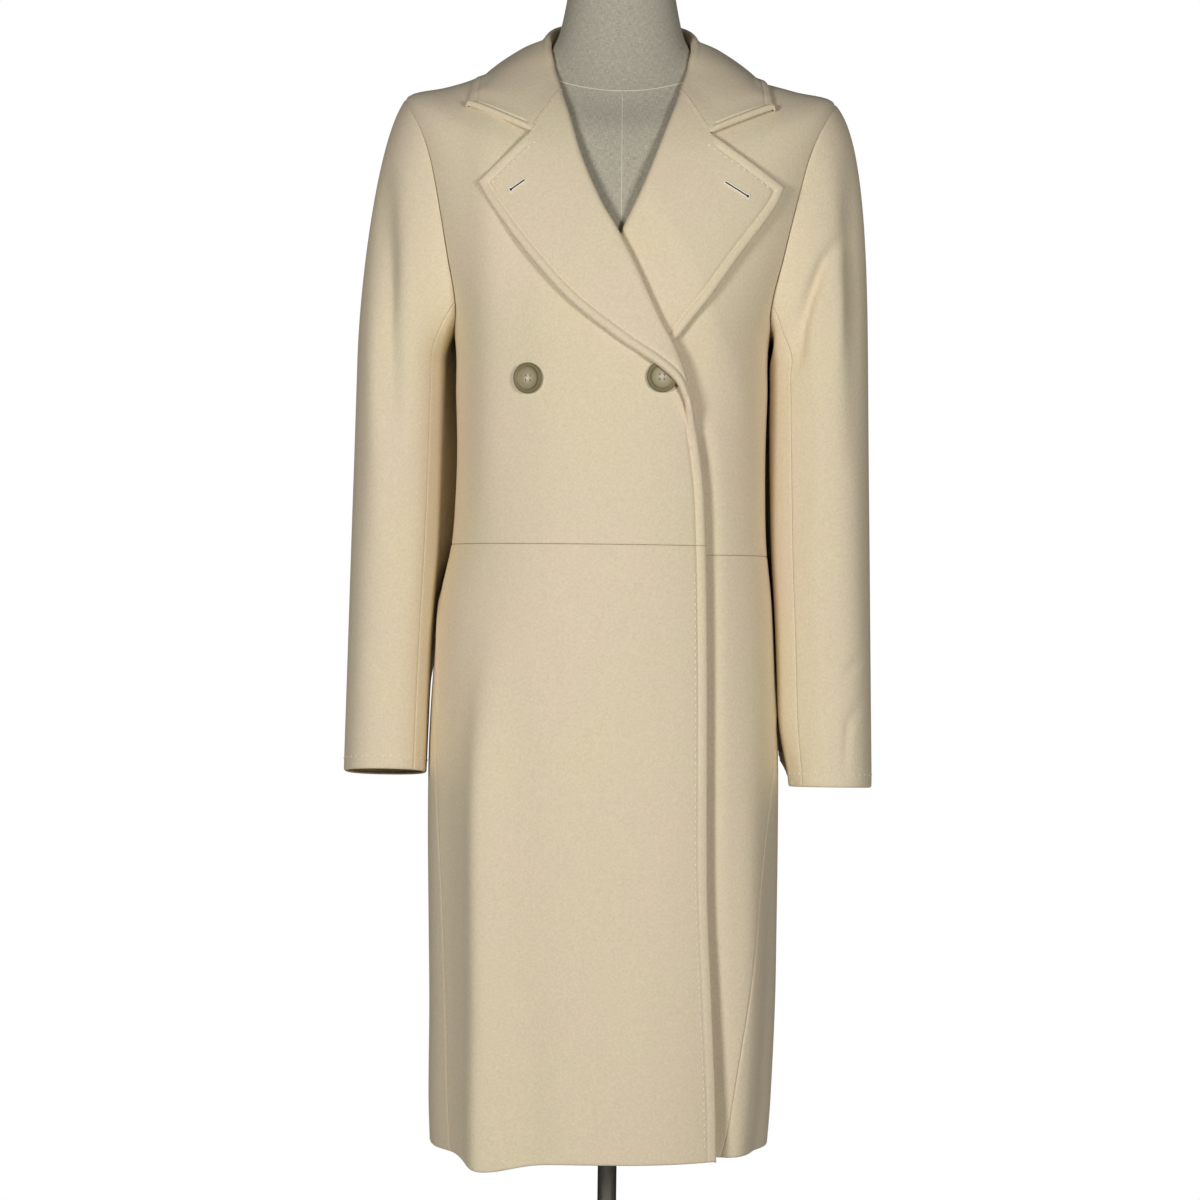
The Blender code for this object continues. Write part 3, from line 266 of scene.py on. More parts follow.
def follow(table, at):
    """Every column of a table on a smooth curve, at places along its rising first column."""
    at = np.asarray(at, float)
    places = table[:, 0]
    last = len(places) - 1
    rows = np.arange(last + 1)
    after, before = np.minimum(rows + 1, last), np.maximum(rows - 1, 0)
    slopes = (table[after] - table[before]) / (places[after] - places[before])[:, None]
    at = np.clip(at, places[0], places[-1])
    low = np.clip(np.searchsorted(places, at, side="right") - 1, 0, last - 1)
    length = (places[low + 1] - places[low])[..., None]
    s = (at[..., None] - places[low][..., None]) / length
    return hermite(s, table[low], length * slopes[low], table[low + 1], length * slopes[low + 1])


def smooth_step(low, high, value):
    share = np.clip((value - low) / (high - low), 0.0, 1.0)
    return share * share * (3 - 2 * share)


def signed_power(value, power):
    return np.sign(value) * np.abs(value) ** power


def unit(vectors):
    return vectors / np.maximum(np.linalg.norm(vectors, axis=-1, keepdims=True), 1e-12)


def run_length(points, axis=0):
    """Distance of each point from the first one, along the rows or the columns."""
    steps = np.diff(points, axis=axis, prepend=np.take(points, [0], axis))
    return np.linalg.norm(steps, axis=-1).cumsum(axis)


def ring_point(ring, angle):
    side_z, front_z, back_z, half, front, back, centre, square = np.moveaxis(ring[..., 1:], -1, 0)
    side = signed_power(np.sin(angle), 2 / square)
    ahead = signed_power(np.cos(angle), 2 / square)
    depth = np.where(ahead >= 0, front, back)
    end_z = np.where(ahead >= 0, front_z, back_z)
    return np.stack((centre + half * side, -depth * ahead,
                     side_z + (end_z - side_z) * ahead * ahead), -1)


def body_point(angle, level):
    """Point of the coat's outer surface; angle 0 is the centre front."""
    angle, level = np.broadcast_arrays(angle, level)
    point = ring_point(follow(COAT_RINGS, level), angle)
    height = np.zeros(angle.shape)
    for at, spread, rise, fade, full in BODY_FOLDS:
        turn = (angle - radians(at) + pi) % (2 * pi) - pi
        height += rise * np.exp(-(turn / radians(spread)) ** 2) * smooth_step(fade, full, level)
    dip = np.exp(-((angle - radians(HEM_DIP_ANGLE)) / radians(HEM_DIP_SPREAD)) ** 2)
    point[..., 0] += np.sin(angle) * height
    point[..., 1] -= np.cos(angle) * height
    point[..., 2] -= HEM_DIP * dip * smooth_step(HEM + HEM_DIP_FADE, HEM, level)
    return point


def body_normal(angle, level):
    turn = rise = 0.002
    across = body_point(angle + turn, level) - body_point(angle - turn, level)
    top = np.minimum(level + rise, NECK_LEVEL)
    up = body_point(angle, top) - body_point(angle, top - 2 * rise)
    return unit(np.cross(across, up))


def body_skin(angle, level, outward=0.0):
    outward = np.asarray(outward, float)
    return body_point(angle, level) + body_normal(angle, level) * outward[..., None]


def front_place(x, z):
    """Angle and level of the front surface's points at x and z."""
    low = np.full(x.shape, HEM - 0.02)
    high = np.full(x.shape, NECK_LEVEL)
    for _ in range(30):
        level = (low + high) / 2
        ring = follow(COAT_RINGS, level)
        share = np.clip((x - ring[..., 7]) / ring[..., 4], -0.9999, 0.9999)
        angle = np.arcsin(signed_power(share, ring[..., 8] / 2))
        under = body_point(angle, level)[..., 2] < z
        low, high = np.where(under, level, low), np.where(under, high, level)
    return angle, level


def front_skin(x, z, outward=0.0):
    return body_skin(*front_place(x, z), outward)


# ---------------------------------------------------------------- felted wool
# Melton: a wool cloth that is milled until its weave closes under a short nap. To the eye it
# is matt and soft, with a fine fibre grain and faint cloudy differences in its cream.


def colour_ramp(tree, share, *stops):
    """Colour of a share on a ramp; each stop is a position and an sRGB hex colour."""
    node = add_node(tree, "ShaderNodeValToRGB", Fac=share)
    elements = node.color_ramp.elements
    for element, (position, code) in zip(list(elements), (stops[0], stops[-1])):
        element.position, element.color = position, linear(code)
    for position, code in stops[1:-1]:
        elements.new(position).color = linear(code)
    return node.outputs["Color"]


def felted_wool(name):
    made, tree, shader = new_material(name)
    place = own_place(tree)
    # Cells of 1 / scale metres: clouds of 90 mm, tufts of the nap of 2.4 mm and fibres of 1.1 mm,
    # drawn coarser than the real ones so that they show.
    cloud = noise(tree, place, 11.0, 2.0)
    nap = noise(tree, place, 420.0, 3.0, Roughness=0.6)
    fibre = noise(tree, stretched(tree, place, (1.0, 1.0, 0.35)), 900.0, 2.0)
    hue = colour_ramp(tree, cloud, (0.35, "EBDCBA"), (0.65, "ECDABD"))
    shade = add_node(tree, "ShaderNodeMapRange", Value=nap, From_Min=0.25, From_Max=0.75,
                     To_Min=0.90, To_Max=1.05)
    tone = add_node(tree, "ShaderNodeMix", {"data_type": "RGBA", "blend_type": "MULTIPLY"}, in0=1.0,
                    A=hue, B=shade.outputs[0])
    height = add_node(tree, "ShaderNodeMath", {"operation": "ADD"}, in0=nap, in1=fibre)
    set_surface(tree, shader, height.outputs[0], 0.35, 0.0006, Base_Color=tone.outputs["Result"],
                Roughness=0.95, Specular_IOR_Level=0.2, Sheen_Weight=0.12, Sheen_Roughness=0.6)
    return made


wool = felted_wool("cream_felted_wool")


WOOL_WALL = 0.0014          # what the cloth shows of its thickness at an edge
SAME_POINT = 0.000002


def grid_piece(name, points, look=wool, wall=WOOL_WALL, closed=False, plan=None):
    """Piece from rows of points: an even grid moved to them, with a wall to its inside.

    A plan lays its UV map: each point's two coordinates.
    """
    rows, columns = points.shape[:2]
    bm = bmesh.new()
    bmesh.ops.create_grid(bm, x_segments=columns - 1, y_segments=rows - 1, size=0.5)
    spots = [(round((v.co.y + 0.5) * (rows - 1)), round((v.co.x + 0.5) * (columns - 1)))
             for v in bm.verts]
    if plan is not None:
        layer = bm.loops.layers.uv.new("plan")
        bm.verts.index_update()
        for face in bm.faces:
            for loop in face.loops:
                loop[layer].uv = plan[spots[loop.vert.index]]
    for vert, spot in zip(bm.verts, spots):
        vert.co = points[spot]
    if closed:
        bmesh.ops.remove_doubles(bm, verts=bm.verts, dist=SAME_POINT)
        bmesh.ops.recalc_face_normals(bm, faces=bm.faces)
    piece = mesh_object(name, bm, look)
    if wall:
        solid = piece.modifiers.new("wall", "SOLIDIFY")
        solid.thickness = wall
        solid.offset = -1
    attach(piece, "root")
    return piece


def surface_normals(points, sign=1):
    across = np.gradient(points, axis=1)
    along = np.gradient(points, axis=0)
    return unit(np.cross(across, along)) * sign


def resampled(dense, axis, pitch, first, last):
    """Points of a dense grid at even distances along one axis, closer together at its ends.

    Also returns the edge height of each place and its distance from the two ends.
    """
    dense = np.moveaxis(dense, axis, 0)
    reach = run_length(dense[..., :3])
    typical = np.median(reach[-1])
    near, far = first[-1, 0], last[-1, 0]
    inner = max(round((typical - near - far) / pitch), 2)
    middle = np.linspace(0, 1, inner + 1)[1:-1]
    heights = np.concatenate((first[:, 1], np.zeros(len(middle)), last[::-1, 1]))
    made = np.empty((len(heights), *dense.shape[1:]))
    before, beyond = np.empty(made.shape[:2]), np.empty(made.shape[:2])
    for c in range(dense.shape[1]):
        length = reach[-1, c]
        squeeze = min(1.0, 0.45 * length / max(near, far, 1e-9))
        at = np.concatenate((first[:, 0] * squeeze,
                             near * squeeze + (length - (near + far) * squeeze) * middle,
                             length - last[::-1, 0] * squeeze))
        for k in range(dense.shape[2]):
            made[:, c, k] = np.interp(at, reach[:, c], dense[:, c, k])
        before[:, c], beyond[:, c] = at, length - at
    made, before, beyond = (np.moveaxis(values, 0, axis) for values in (made, before, beyond))
    return made, heights, before, beyond


def laid_out(points, normals, pitches, ends, sides, relief=None, sewn=None):
    """Cloth's outer surface from a dense one, with its four edges shaped by their profiles.

    A relief adds heights from the points and their distances from the two sides and two ends.
    """
    dense = np.concatenate((points, normals), axis=-1)
    dense, end_height, before, beyond = resampled(dense, 0, pitches[0], *ends)
    dense = np.concatenate((dense, before[..., None], beyond[..., None]), axis=-1)
    dense, side_height, left, right = resampled(dense, 1, pitches[1], *sides)
    end_height = end_height[:, None] * (sewn(dense[..., 0]) if sewn else 1.0)
    height = np.minimum(end_height, side_height[None, :])
    if relief:
        height = height + relief(dense[..., :3], left, right, dense[..., 6], dense[..., 7])
    return dense[..., :3] + unit(dense[..., 3:6]) * height[..., None]


# ---------------------------------------------------------------- body panels
# The eight body panels. At a seam the cloth turns in and makes a fine valley; at the hem and
# the front edge it turns round on itself, and the front edge is swelled by a row of stitching.
ARMHOLE = np.array([        # height and half breadth between the armhole seams
    (1.150, 0.1500), (1.165, 0.1470), (1.185, 0.1490), (1.217, 0.1560), (1.256, 0.1640),
    (1.287, 0.1708), (1.312, 0.1770), (1.334, 0.1850), (1.350, 0.1930), (1.364, 0.2010),
    (1.372, 0.2040),
])
EDGE_RIGHT = np.array([     # height and sideways place of the outer front's edge and roll line
    (0.360, 0.1005), (0.445, 0.0985), (0.536, 0.0937), (0.628, 0.0889), (0.866, 0.0859),
    (0.992, 0.0816), (1.040, 0.0760), (1.085, 0.0670), (1.109, 0.0605), (1.131, 0.0520),
    (1.159, 0.0370), (1.201, 0.0175), (1.237, -0.0008), (1.265, -0.0170), (1.307, -0.0350),
    (1.347, -0.0470), (1.372, -0.0549), (1.395, -0.0612), (1.415, -0.0640),
])
EDGE_LEFT = np.array([
    (0.360, -0.1040), (0.628, -0.1000), (0.866, -0.0960), (0.992, -0.0880), (1.040, -0.0800),
    (1.085, -0.0680), (1.125, -0.0520), (1.160, -0.0350), (1.205, -0.0140), (1.245, 0.0044),
    (1.279, 0.0208), (1.321, 0.0370), (1.347, 0.0465), (1.372, 0.0549), (1.395, 0.0612),
    (1.415, 0.0640),
])
SIDE_SEAM_LEFT = np.array([  # level and angle from the centre front
    (0.360, 45.0), (0.400, 46.5), (0.483, 49.5), (0.578, 55.5), (0.650, 61.0), (0.710, 69.0),
    (0.790, 82.0), (0.860, 90.0), (0.870, 90.0), (0.960, 90.0),
])
SIDE_SEAM_RIGHT = np.array([
    (0.360, 60.5), (0.400, 61.5), (0.526, 64.4), (0.646, 67.0), (0.805, 74.0), (0.860, 80.0),
    (0.920, 90.0), (0.930, 90.0), (0.960, 90.0),
])
UNDER_STEP = np.array([     # height and depth of the under front inside the body's surface
    (0.387, 0.0130), (0.520, 0.0080), (0.700, 0.0052), (1.050, 0.0052), (1.090, 0.0106),
    (1.250, 0.0106), (1.300, 0.0040), (1.390, 0.0000),
])
UNDER_STEP_FADE = 0.055
ROLL = 0.0047               # outer radius of the cloth where the lapel turns over
SEAM_GAP = 0.0003           # air between two pieces that are sewn together
TAIL = 0.046                # below the break the lapel sinks into the front edge

# How the cloth ends: distance from the edge and height, from the edge inward.
PLAIN = np.array([(0.0, 0.0)])
SEAM_REACH = (0.0, 0.0002, 0.0006, 0.0013, 0.0025, 0.0045)
SEAM_EDGE = np.column_stack((SEAM_REACH, (-0.0013, -0.0008, -0.0004, -0.0001, 0.0, 0.0)))
THIN_SEAM = np.column_stack((SEAM_REACH, (-0.0010, -0.0006, -0.0003, -0.0001, 0.0, 0.0)))


def edge_profile(curl, flat):
    return np.array([*curl, *((reach, 0.0) for reach in flat)])


TURNED_EDGE = edge_profile(
    [(0.0016, -0.0034), (0.0006, -0.0031), (0.0001, -0.0024), (0.0, -0.0017), (0.0003, -0.0010),
     (0.0009, -0.0004), (0.0018, -0.0001)],
    (0.0030, 0.0042, 0.0054, 0.0066, 0.0078, 0.0087, 0.0094, 0.0101, 0.0110, 0.0125, 0.0150))
HEM_EDGE = TURNED_EDGE[:9]
THICK_EDGE = edge_profile(
    [(0.0028, -0.0050), (0.0012, -0.0047), (0.0003, -0.0038), (0.0, -0.0027), (0.0003, -0.0018),
     (0.0010, -0.0009), (0.0020, -0.0003)],
    (0.0032, 0.0044, 0.0056, 0.0068, 0.0080, 0.0088, 0.0095, 0.0102, 0.0112, 0.0126, 0.0150))


def edge_x(table, z):
    return follow(table, z)[..., 1]


def under_step(x, z):
    free = edge_x(EDGE_RIGHT, z)
    return edge_x(UNDER_STEP, z) * (1 - smooth_step(free, free + UNDER_STEP_FADE, x))


def no_step(x, z):
    return np.zeros(np.shape(x))


def angle_at_edge(level, edge, shift):
    """Angle on the front of each ring where it crosses a front-view edge moved sideways."""
    low = np.full(level.shape, radians(-89.9))      # just short of the side
    high = -low
    for _ in range(34):
        middle = (low + high) / 2
        point = body_point(middle, level)
        short = point[..., 0] < edge_x(edge, point[..., 2]) + shift
        low, high = np.where(short, middle, low), np.where(short, high, middle)
    return low


def armhole_angle(level, facing):
    """Angle of the armhole seam from the side, growing toward the front (1) or back (-1)."""
    low = np.zeros(level.shape)
    high = np.full(level.shape, radians(85))
    ring = follow(COAT_RINGS, level)
    for _ in range(34):
        middle = (low + high) / 2
        point = ring_point(ring, radians(90) - facing * middle)
        wide = point[..., 0] - ring[..., 7] > edge_x(ARMHOLE, point[..., 2])
        low, high = np.where(wide, middle, low), np.where(wide, high, middle)
    inside = (level > UNDERARM_LEVEL) & (level < SHOULDER_LEVEL)
    return np.where(inside, low, 0.0)


def side_seam(table, level):
    return np.radians(edge_x(table, level))


def roll_radius(z):
    """Outer radius of the roll, which flattens as it runs out into the front edge."""
    return ROLL - 0.00064 * (1 - smooth_step(BREAK_HEIGHT, BREAK_HEIGHT + 0.05, z))


def edge_slope(edge, z):
    reach = 0.002
    return (edge_x(edge, z + reach) - edge_x(edge, z - reach)) / (2 * reach)


def front_bound(edge, side, level):
    """Angle where a front panel ends: under the lapel's roll above the break."""
    z = body_point(angle_at_edge(level, edge, 0.0), level)[..., 2]
    setback = (roll_radius(z) + SEAM_GAP) * np.hypot(1, edge_slope(edge, z))
    setback = setback * smooth_step(BREAK_HEIGHT - 0.026, BREAK_HEIGHT - 0.006, z)
    return angle_at_edge(level, edge, side * setback)


def right_front(level):
    side = -side_seam(SIDE_SEAM_RIGHT, level) + armhole_angle(level, 1)
    return side, front_bound(EDGE_RIGHT, -1, level)


def left_front(level):
    side = side_seam(SIDE_SEAM_LEFT, level) - armhole_angle(level, 1)
    return front_bound(EDGE_LEFT, 1, level), side


def left_back(level):
    return side_seam(SIDE_SEAM_LEFT, level) + armhole_angle(level, -1), np.full(level.shape, pi)


def right_back(level):
    return np.full(level.shape, -pi), -side_seam(SIDE_SEAM_RIGHT, level) - armhole_angle(level, -1)


BEAD, BEAD_BREADTH = 0.0014, 0.0090
STITCH_GROOVE, STITCH_PLACE, STITCH_SPREAD = 0.0013, 0.0098, 0.0014


def stitch_groove(distance):
    return np.exp(-((distance - STITCH_PLACE) / STITCH_SPREAD) ** 2)


def swelling(distance, sunk=1.0):
    """Height of a swelled edge: a soft bead, and the sunk row of stitches inside it."""
    bead = BEAD * np.sin(pi * np.clip(distance / BEAD_BREADTH, 0, 1)) ** 0.8
    return bead - STITCH_GROOVE * stitch_groove(distance) * sunk


def side_ridge(x, z):
    """Soft edge where the outer front turns to the side, and a faint pull under the bust."""
    ridge = 0.0045 * np.exp(-((x + 0.118) / 0.020) ** 2) * smooth_step(0.92, 1.06, z)
    trough = -0.0010 * np.exp(-((x + 0.045 + (z - 0.80) * 0.28) / 0.016) ** 2)
    return ridge + trough * smooth_step(0.70, 0.76, z) * (1 - smooth_step(0.84, 0.90, z))


def pocket_lip(distance, z):
    """Faint ridge of the pocket that opens in the side seam below the waist."""
    lip = 0.0016 * np.exp(-((distance - 0.005) / 0.0035) ** 2)
    return lip * smooth_step(0.780, 0.800, z) * (1 - smooth_step(0.895, 0.910, z))


def right_relief(points, left, right, below, above):
    z = points[..., 2]
    strength = (smooth_step(0.60, 0.98, z) * 0.75 + 0.25) * (1 - smooth_step(1.050, 1.064, z))
    return swelling(right) * strength + side_ridge(points[..., 0], z) + pocket_lip(left, z)


def left_relief(points, left, right, below, above):
    """The under front sinks away beside the outer front's edge."""
    z = points[..., 2]
    free = points[..., 0] - edge_x(EDGE_RIGHT, z)
    sunk = 0.0110 * np.exp(-((free + 0.001) / 0.0095) ** 2) * (1 - smooth_step(1.03, 1.09, z))
    return np.where(points[..., 1] < 0, -sunk, 0.0) + pocket_lip(right, z)


def back_relief(points, left, right, below, above):
    """The same on the part of the back that is drawn forward at the hem, without a pocket."""
    return left_relief(points, left, right + 1.0, below, above)


def wool_piece(name, points, sheet, held, *rests_on):
    """Cloth that stands in for a CAD node; sheet is its flat breadth, length and area, and is not
    used.
    """
    piece = grid_piece(name + "_cloth", points)
    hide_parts(name)


ROW_PITCH = 0.005           # between the rows of points up a panel
PANEL_GAP = 0.00005         # between a panel and the waist seam
PANELS = (
    # name, waist seam, bounds, side edges, pitch across, depth of the under front, relief
    ("front_{}_right", 0.951, right_front, (SEAM_EDGE, TURNED_EDGE), 0.0028, no_step, right_relief),
    ("front_{}_left", 0.943, left_front, (TURNED_EDGE, SEAM_EDGE), 0.0034, under_step, left_relief),
    ("back_{}_left", 0.947, left_back, (SEAM_EDGE, SEAM_EDGE), 0.0036, under_step, back_relief),
    ("back_{}_right", 0.947, right_back, (SEAM_EDGE, SEAM_EDGE), 0.0036, no_step, None),
)
BODY_SHEETS = {             # breadth, length and area of the flat pieces
    "front_skirt_right": (0.323, 0.584, 0.170), "front_bodice_right": (0.315, 0.636, 0.111),
    "front_skirt_left": (0.325, 0.578, 0.155), "front_bodice_left": (0.311, 0.647, 0.109),
    "back_skirt_left": (0.348, 0.581, 0.165), "back_bodice_left": (0.257, 0.630, 0.099),
    "back_skirt_right": (0.314, 0.575, 0.161), "back_bodice_right": (0.257, 0.629, 0.099),
}
for pattern, waist, bounds, sides, pitch, step, relief in PANELS:
    for part, low, high, ends in (
            ("skirt", HEM, waist - PANEL_GAP, (HEM_EDGE, THIN_SEAM)),
            ("bodice", waist + PANEL_GAP, NECK_LEVEL, (THIN_SEAM, THIN_SEAM))):
        levels = np.linspace(low, high, int((high - low) / 0.003))
        start, stop = bounds(levels)
        angles = start[:, None] + (stop - start)[:, None] * np.linspace(0, 1, 200)
        level = np.broadcast_to(levels[:, None], angles.shape)
        base = body_point(angles, level)
        depth = np.where(base[..., 1] < 0, step(base[..., 0], base[..., 2]), 0.0)
        normals = body_normal(angles, level)
        points = base - normals * depth[..., None]
        points = laid_out(points, normals, (ROW_PITCH, pitch), ends, sides, relief)
        name = pattern.format(part)
        wool_piece(name, points, BODY_SHEETS[name], "draped", "form_torso")

# ---------------------------------------------------------------- lapels
# Each lapel is cut in one with the facing: its cloth comes up inside the front, turns over at
# the roll line and lies on the front, with a swelled outer edge. The outer one covers half of
# the inner button and rides up over it.
GORGE_TOP_Z = 1.3715
GORGE_GAP = -0.0007          # the two edges press together in the seam
LAPEL_EDGE_HEIGHT = 0.0074
LAPEL_RIGHT_NOTCH = np.array((-0.0820, 1.3280))
LAPEL_LEFT_NOTCH = np.array((0.0820, 1.3280))
LAPEL_RIGHT_EDGE = np.array([
    (-0.1290, 1.2822), (-0.1172, 1.2614), (-0.0853, 1.2178), (-0.0449, 1.1723),
    (-0.0005, 1.1373), (0.0299, 1.1175), (0.0500, 1.1010), (0.0590, 1.0850),
])
LAPEL_LEFT_EDGE = np.array([
    (0.1487, 1.2828), (0.1400, 1.2625), (0.1066, 1.2145), (0.0706, 1.1619),
    (0.0508, 1.1345), (0.0100, 1.1130), (-0.0300, 1.0980), (-0.0595, 1.0850),
])
BUTTON_INNER = (0.0400, 1.1040)
BUTTON_OUTER = (-0.0810, 1.1020)
BUTTON_COVER = 0.0090       # height of the outer lapel's face over the button
BUTTON_SLOPE = (0.017, 0.060)   # distances from its middle where that height starts to fall, ends
PANEL_HALF = 0.0017         # half the thickness of the front's turned edge
SWELL = 0.0086              # breadth of the swelled edge
BENDS = 12                  # rows round a roll
LAPEL_PITCHES = (0.0035, 0.0030)
LAPEL_SHEETS = {            # breadth, length and area of the flat pieces
    "lapel_right": (0.148, 0.378, 0.0263), "lapel_left": (0.167, 0.328, 0.0324),
}


def curve_point(outline, share):
    """Points at shares of the length of a smooth curve through an outline's points."""
    length = run_length(outline)
    return follow(np.column_stack((length / length[-1], outline)), share)[..., 1:]


def bent_line(a, b, c, share):
    """Points at shares of the length of the line from a to b and on to c."""
    first = np.linalg.norm(b - a, axis=-1, keepdims=True)
    second = np.linalg.norm(c - b, axis=-1, keepdims=True)
    length = share[..., None] * (first + second)
    beyond = np.clip((length - first) / second, 0, None)
    return a + (b - a) * np.clip(length / first, 0, 1) + (c - b) * beyond


def seam_share(a, b, c):
    first = np.linalg.norm(b - a, axis=-1)
    return first / (first + np.linalg.norm(c - b, axis=-1))


def gorge_shift(top, notch, gap):
    """Small move square to the gorge seam, toward the lapel."""
    line = (notch - top) / np.linalg.norm(notch - top)
    return np.sign(notch[0]) * np.array((line[1], -line[0])) * gap


def steepness(roll, z, start, end):
    """Sine of the angle between the roll line and a row across the piece."""
    slope = edge_slope(roll, z)
    away = end - start
    across = away[..., 0] - slope * away[..., 1]
    return np.abs(across) / np.hypot(1, slope) / np.linalg.norm(away, axis=-1)


def face_height(share, radius):
    """Height of the turned-over piece's face, from the roll line to the free edge."""
    top = 2 * radius - CLOTH
    return top + (LAPEL_EDGE_HEIGHT - top) * smooth_step(0.0, 0.85, share)


def over_button(height, x, z):
    """The face lifted to clear the inner button, down to its own height round it."""
    away = np.hypot(x - BUTTON_INNER[0], z - BUTTON_INNER[1])
    cover = BUTTON_COVER * (1 - smooth_step(*BUTTON_SLOPE, away))
    lift = cover - np.maximum(height, LAPEL_EDGE_HEIGHT)
    return height + np.maximum(lift, 0.0) * smooth_step(0.0, LAPEL_EDGE_HEIGHT, height)


def as_it_lies(height, x, z):
    return height


def rolled_section(radius, scale, bends, flats):
    """Shares and heights across a turned-over piece: half a turn of cloth, then its face."""
    turn = np.linspace(0, pi, bends)
    radius, scale = radius[:, None], scale[:, None]
    first = radius * scale
    share = np.concatenate((radius * (1 - np.sin(turn)) * scale, first + (1 - first) * flats),
                           axis=1)
    face = face_height(share[:, bends:], radius)
    height = np.concatenate((-CLOTH + radius * (1 - np.cos(turn)), face), axis=1)
    return share, height


def lapel_surface(roll, notch, outline, step, ride, tail=0.0):
    """Outer surface of a lapel: rows from the gorge seam down to the break, and its tail."""
    along = np.linspace(0, 1, 120)
    top = np.array((edge_x(roll, GORGE_TOP_Z), GORGE_TOP_Z))
    tip = outline[0]
    roll_z = GORGE_TOP_Z + (BREAK_HEIGHT - GORGE_TOP_Z) * along
    start = np.column_stack((edge_x(roll, roll_z), roll_z))
    end = curve_point(outline, along)
    radius = roll_radius(roll_z)
    far = notch + (end - notch) * smooth_step(0.05, 0.25, along)[:, None]
    scale = 1 / steepness(roll, roll_z, start, far) / np.linalg.norm(end - start, axis=1)
    flats = np.linspace(0, 1, 70)[1:]
    share, height = rolled_section(radius, scale, BENDS, flats)
    corner = bent_line(top, notch, tip, share) - (top + (tip - top) * share[..., None])
    place = start[:, None] + (end - start)[:, None] * share[..., None]
    place = place + corner * ((1 - along) ** 2)[:, None, None]
    shift = gorge_shift(top, notch, GORGE_GAP / 2)
    place = place + shift * (1 - smooth_step(0.0, 0.1, along))[:, None, None]
    height = ride(height, place[..., 0], place[..., 1])
    if tail:
        breadth = np.linalg.norm(end[-1] - start[-1])
        low_place, low = lapel_tail(tail, radius[-1], breadth, height[-1:, BENDS:], flats)
        place, height = np.concatenate((place, low_place)), np.concatenate((height, low))
    x, z = place[..., 0], place[..., 1]
    return front_skin(x, z, height - step(x, z))


def lapel_tail(length, radius, breadth, face, flats):
    """Rows below the break, where the lapel narrows and sinks into the front's turned edge."""
    down = np.linspace(0, 1, 30)[1:, None]
    z = BREAK_HEIGHT - length * down
    sunk = smooth_step(0.0, 0.62, down)
    slip = 0.0004 - 0.0020 * smooth_step(0.45, 1.0, down)   # over the edge, then inside it
    turn = np.linspace(0, pi, BENDS)[None, :]
    bend = radius * (1 - sunk) + PANEL_HALF * sunk
    breadth = breadth * (1 - sunk) + SWELL * sunk
    away = np.concatenate((bend * (1 - np.sin(turn)), bend + (breadth - bend) * flats), axis=1)
    bottom = -CLOTH * (1 - sunk) - 2 * PANEL_HALF * sunk
    height = np.concatenate((bottom + bend * (1 - np.cos(turn)), face * (1 - sunk)), axis=1) + slip
    x = edge_x(EDGE_RIGHT, z) + slip - away
    return np.stack((x, np.broadcast_to(z, x.shape)), -1), height


def lapel_relief(points, left, right, below, above):
    """The swelled edge runs down the lapel and, flatter, turns the tip along its top."""
    x, z = points[..., 0], points[..., 2]
    top = below + 1 - smooth_step(0.082, 0.088, np.abs(x))
    near = np.minimum(right, top)
    strength = np.where(top < right, 0.55 + 0.45 * smooth_step(0.016, 0.0, right - top), 1.0)
    return swelling(near, smooth_step(1.070, 1.110, z)) * strength


def gorge_depth(x):
    """The gorge seam is shallow; outside the notch the edge is turned in full."""
    return 0.22 + 0.78 * smooth_step(0.081, 0.086, np.abs(x))


def search_tree(points):
    rows, columns = points.shape[:2]
    corner = (np.arange(rows - 1)[:, None] * columns + np.arange(columns - 1)).ravel()
    faces = np.column_stack((corner, corner + 1, corner + columns + 1, corner + columns))
    return BVHTree.FromPolygons(points.reshape(-1, 3).tolist(), faces.tolist())


def build_lapel(name, side, *shape):
    points = lapel_surface(*shape)
    normals = surface_normals(points, side)
    points = laid_out(points, normals, LAPEL_PITCHES, (THICK_EDGE, PLAIN), (PLAIN, THICK_EDGE),
                      lapel_relief, gorge_depth)
    wool_piece(name, points[:, ::side], LAPEL_SHEETS[name], "folded",
               name.replace("lapel", "front_bodice") + "_cloth")
    return search_tree(points[3:, ::side])      # without the rows turned in at the gorge


ROLL_RIGHT, ROLL_LEFT = EDGE_RIGHT[7:], EDGE_LEFT[5:]
right_face = build_lapel("lapel_right", 1, ROLL_RIGHT, LAPEL_RIGHT_NOTCH, LAPEL_RIGHT_EDGE,
                         no_step, over_button, TAIL)
left_face = build_lapel("lapel_left", -1, ROLL_LEFT, LAPEL_LEFT_NOTCH, LAPEL_LEFT_EDGE,
                        under_step, as_it_lies)

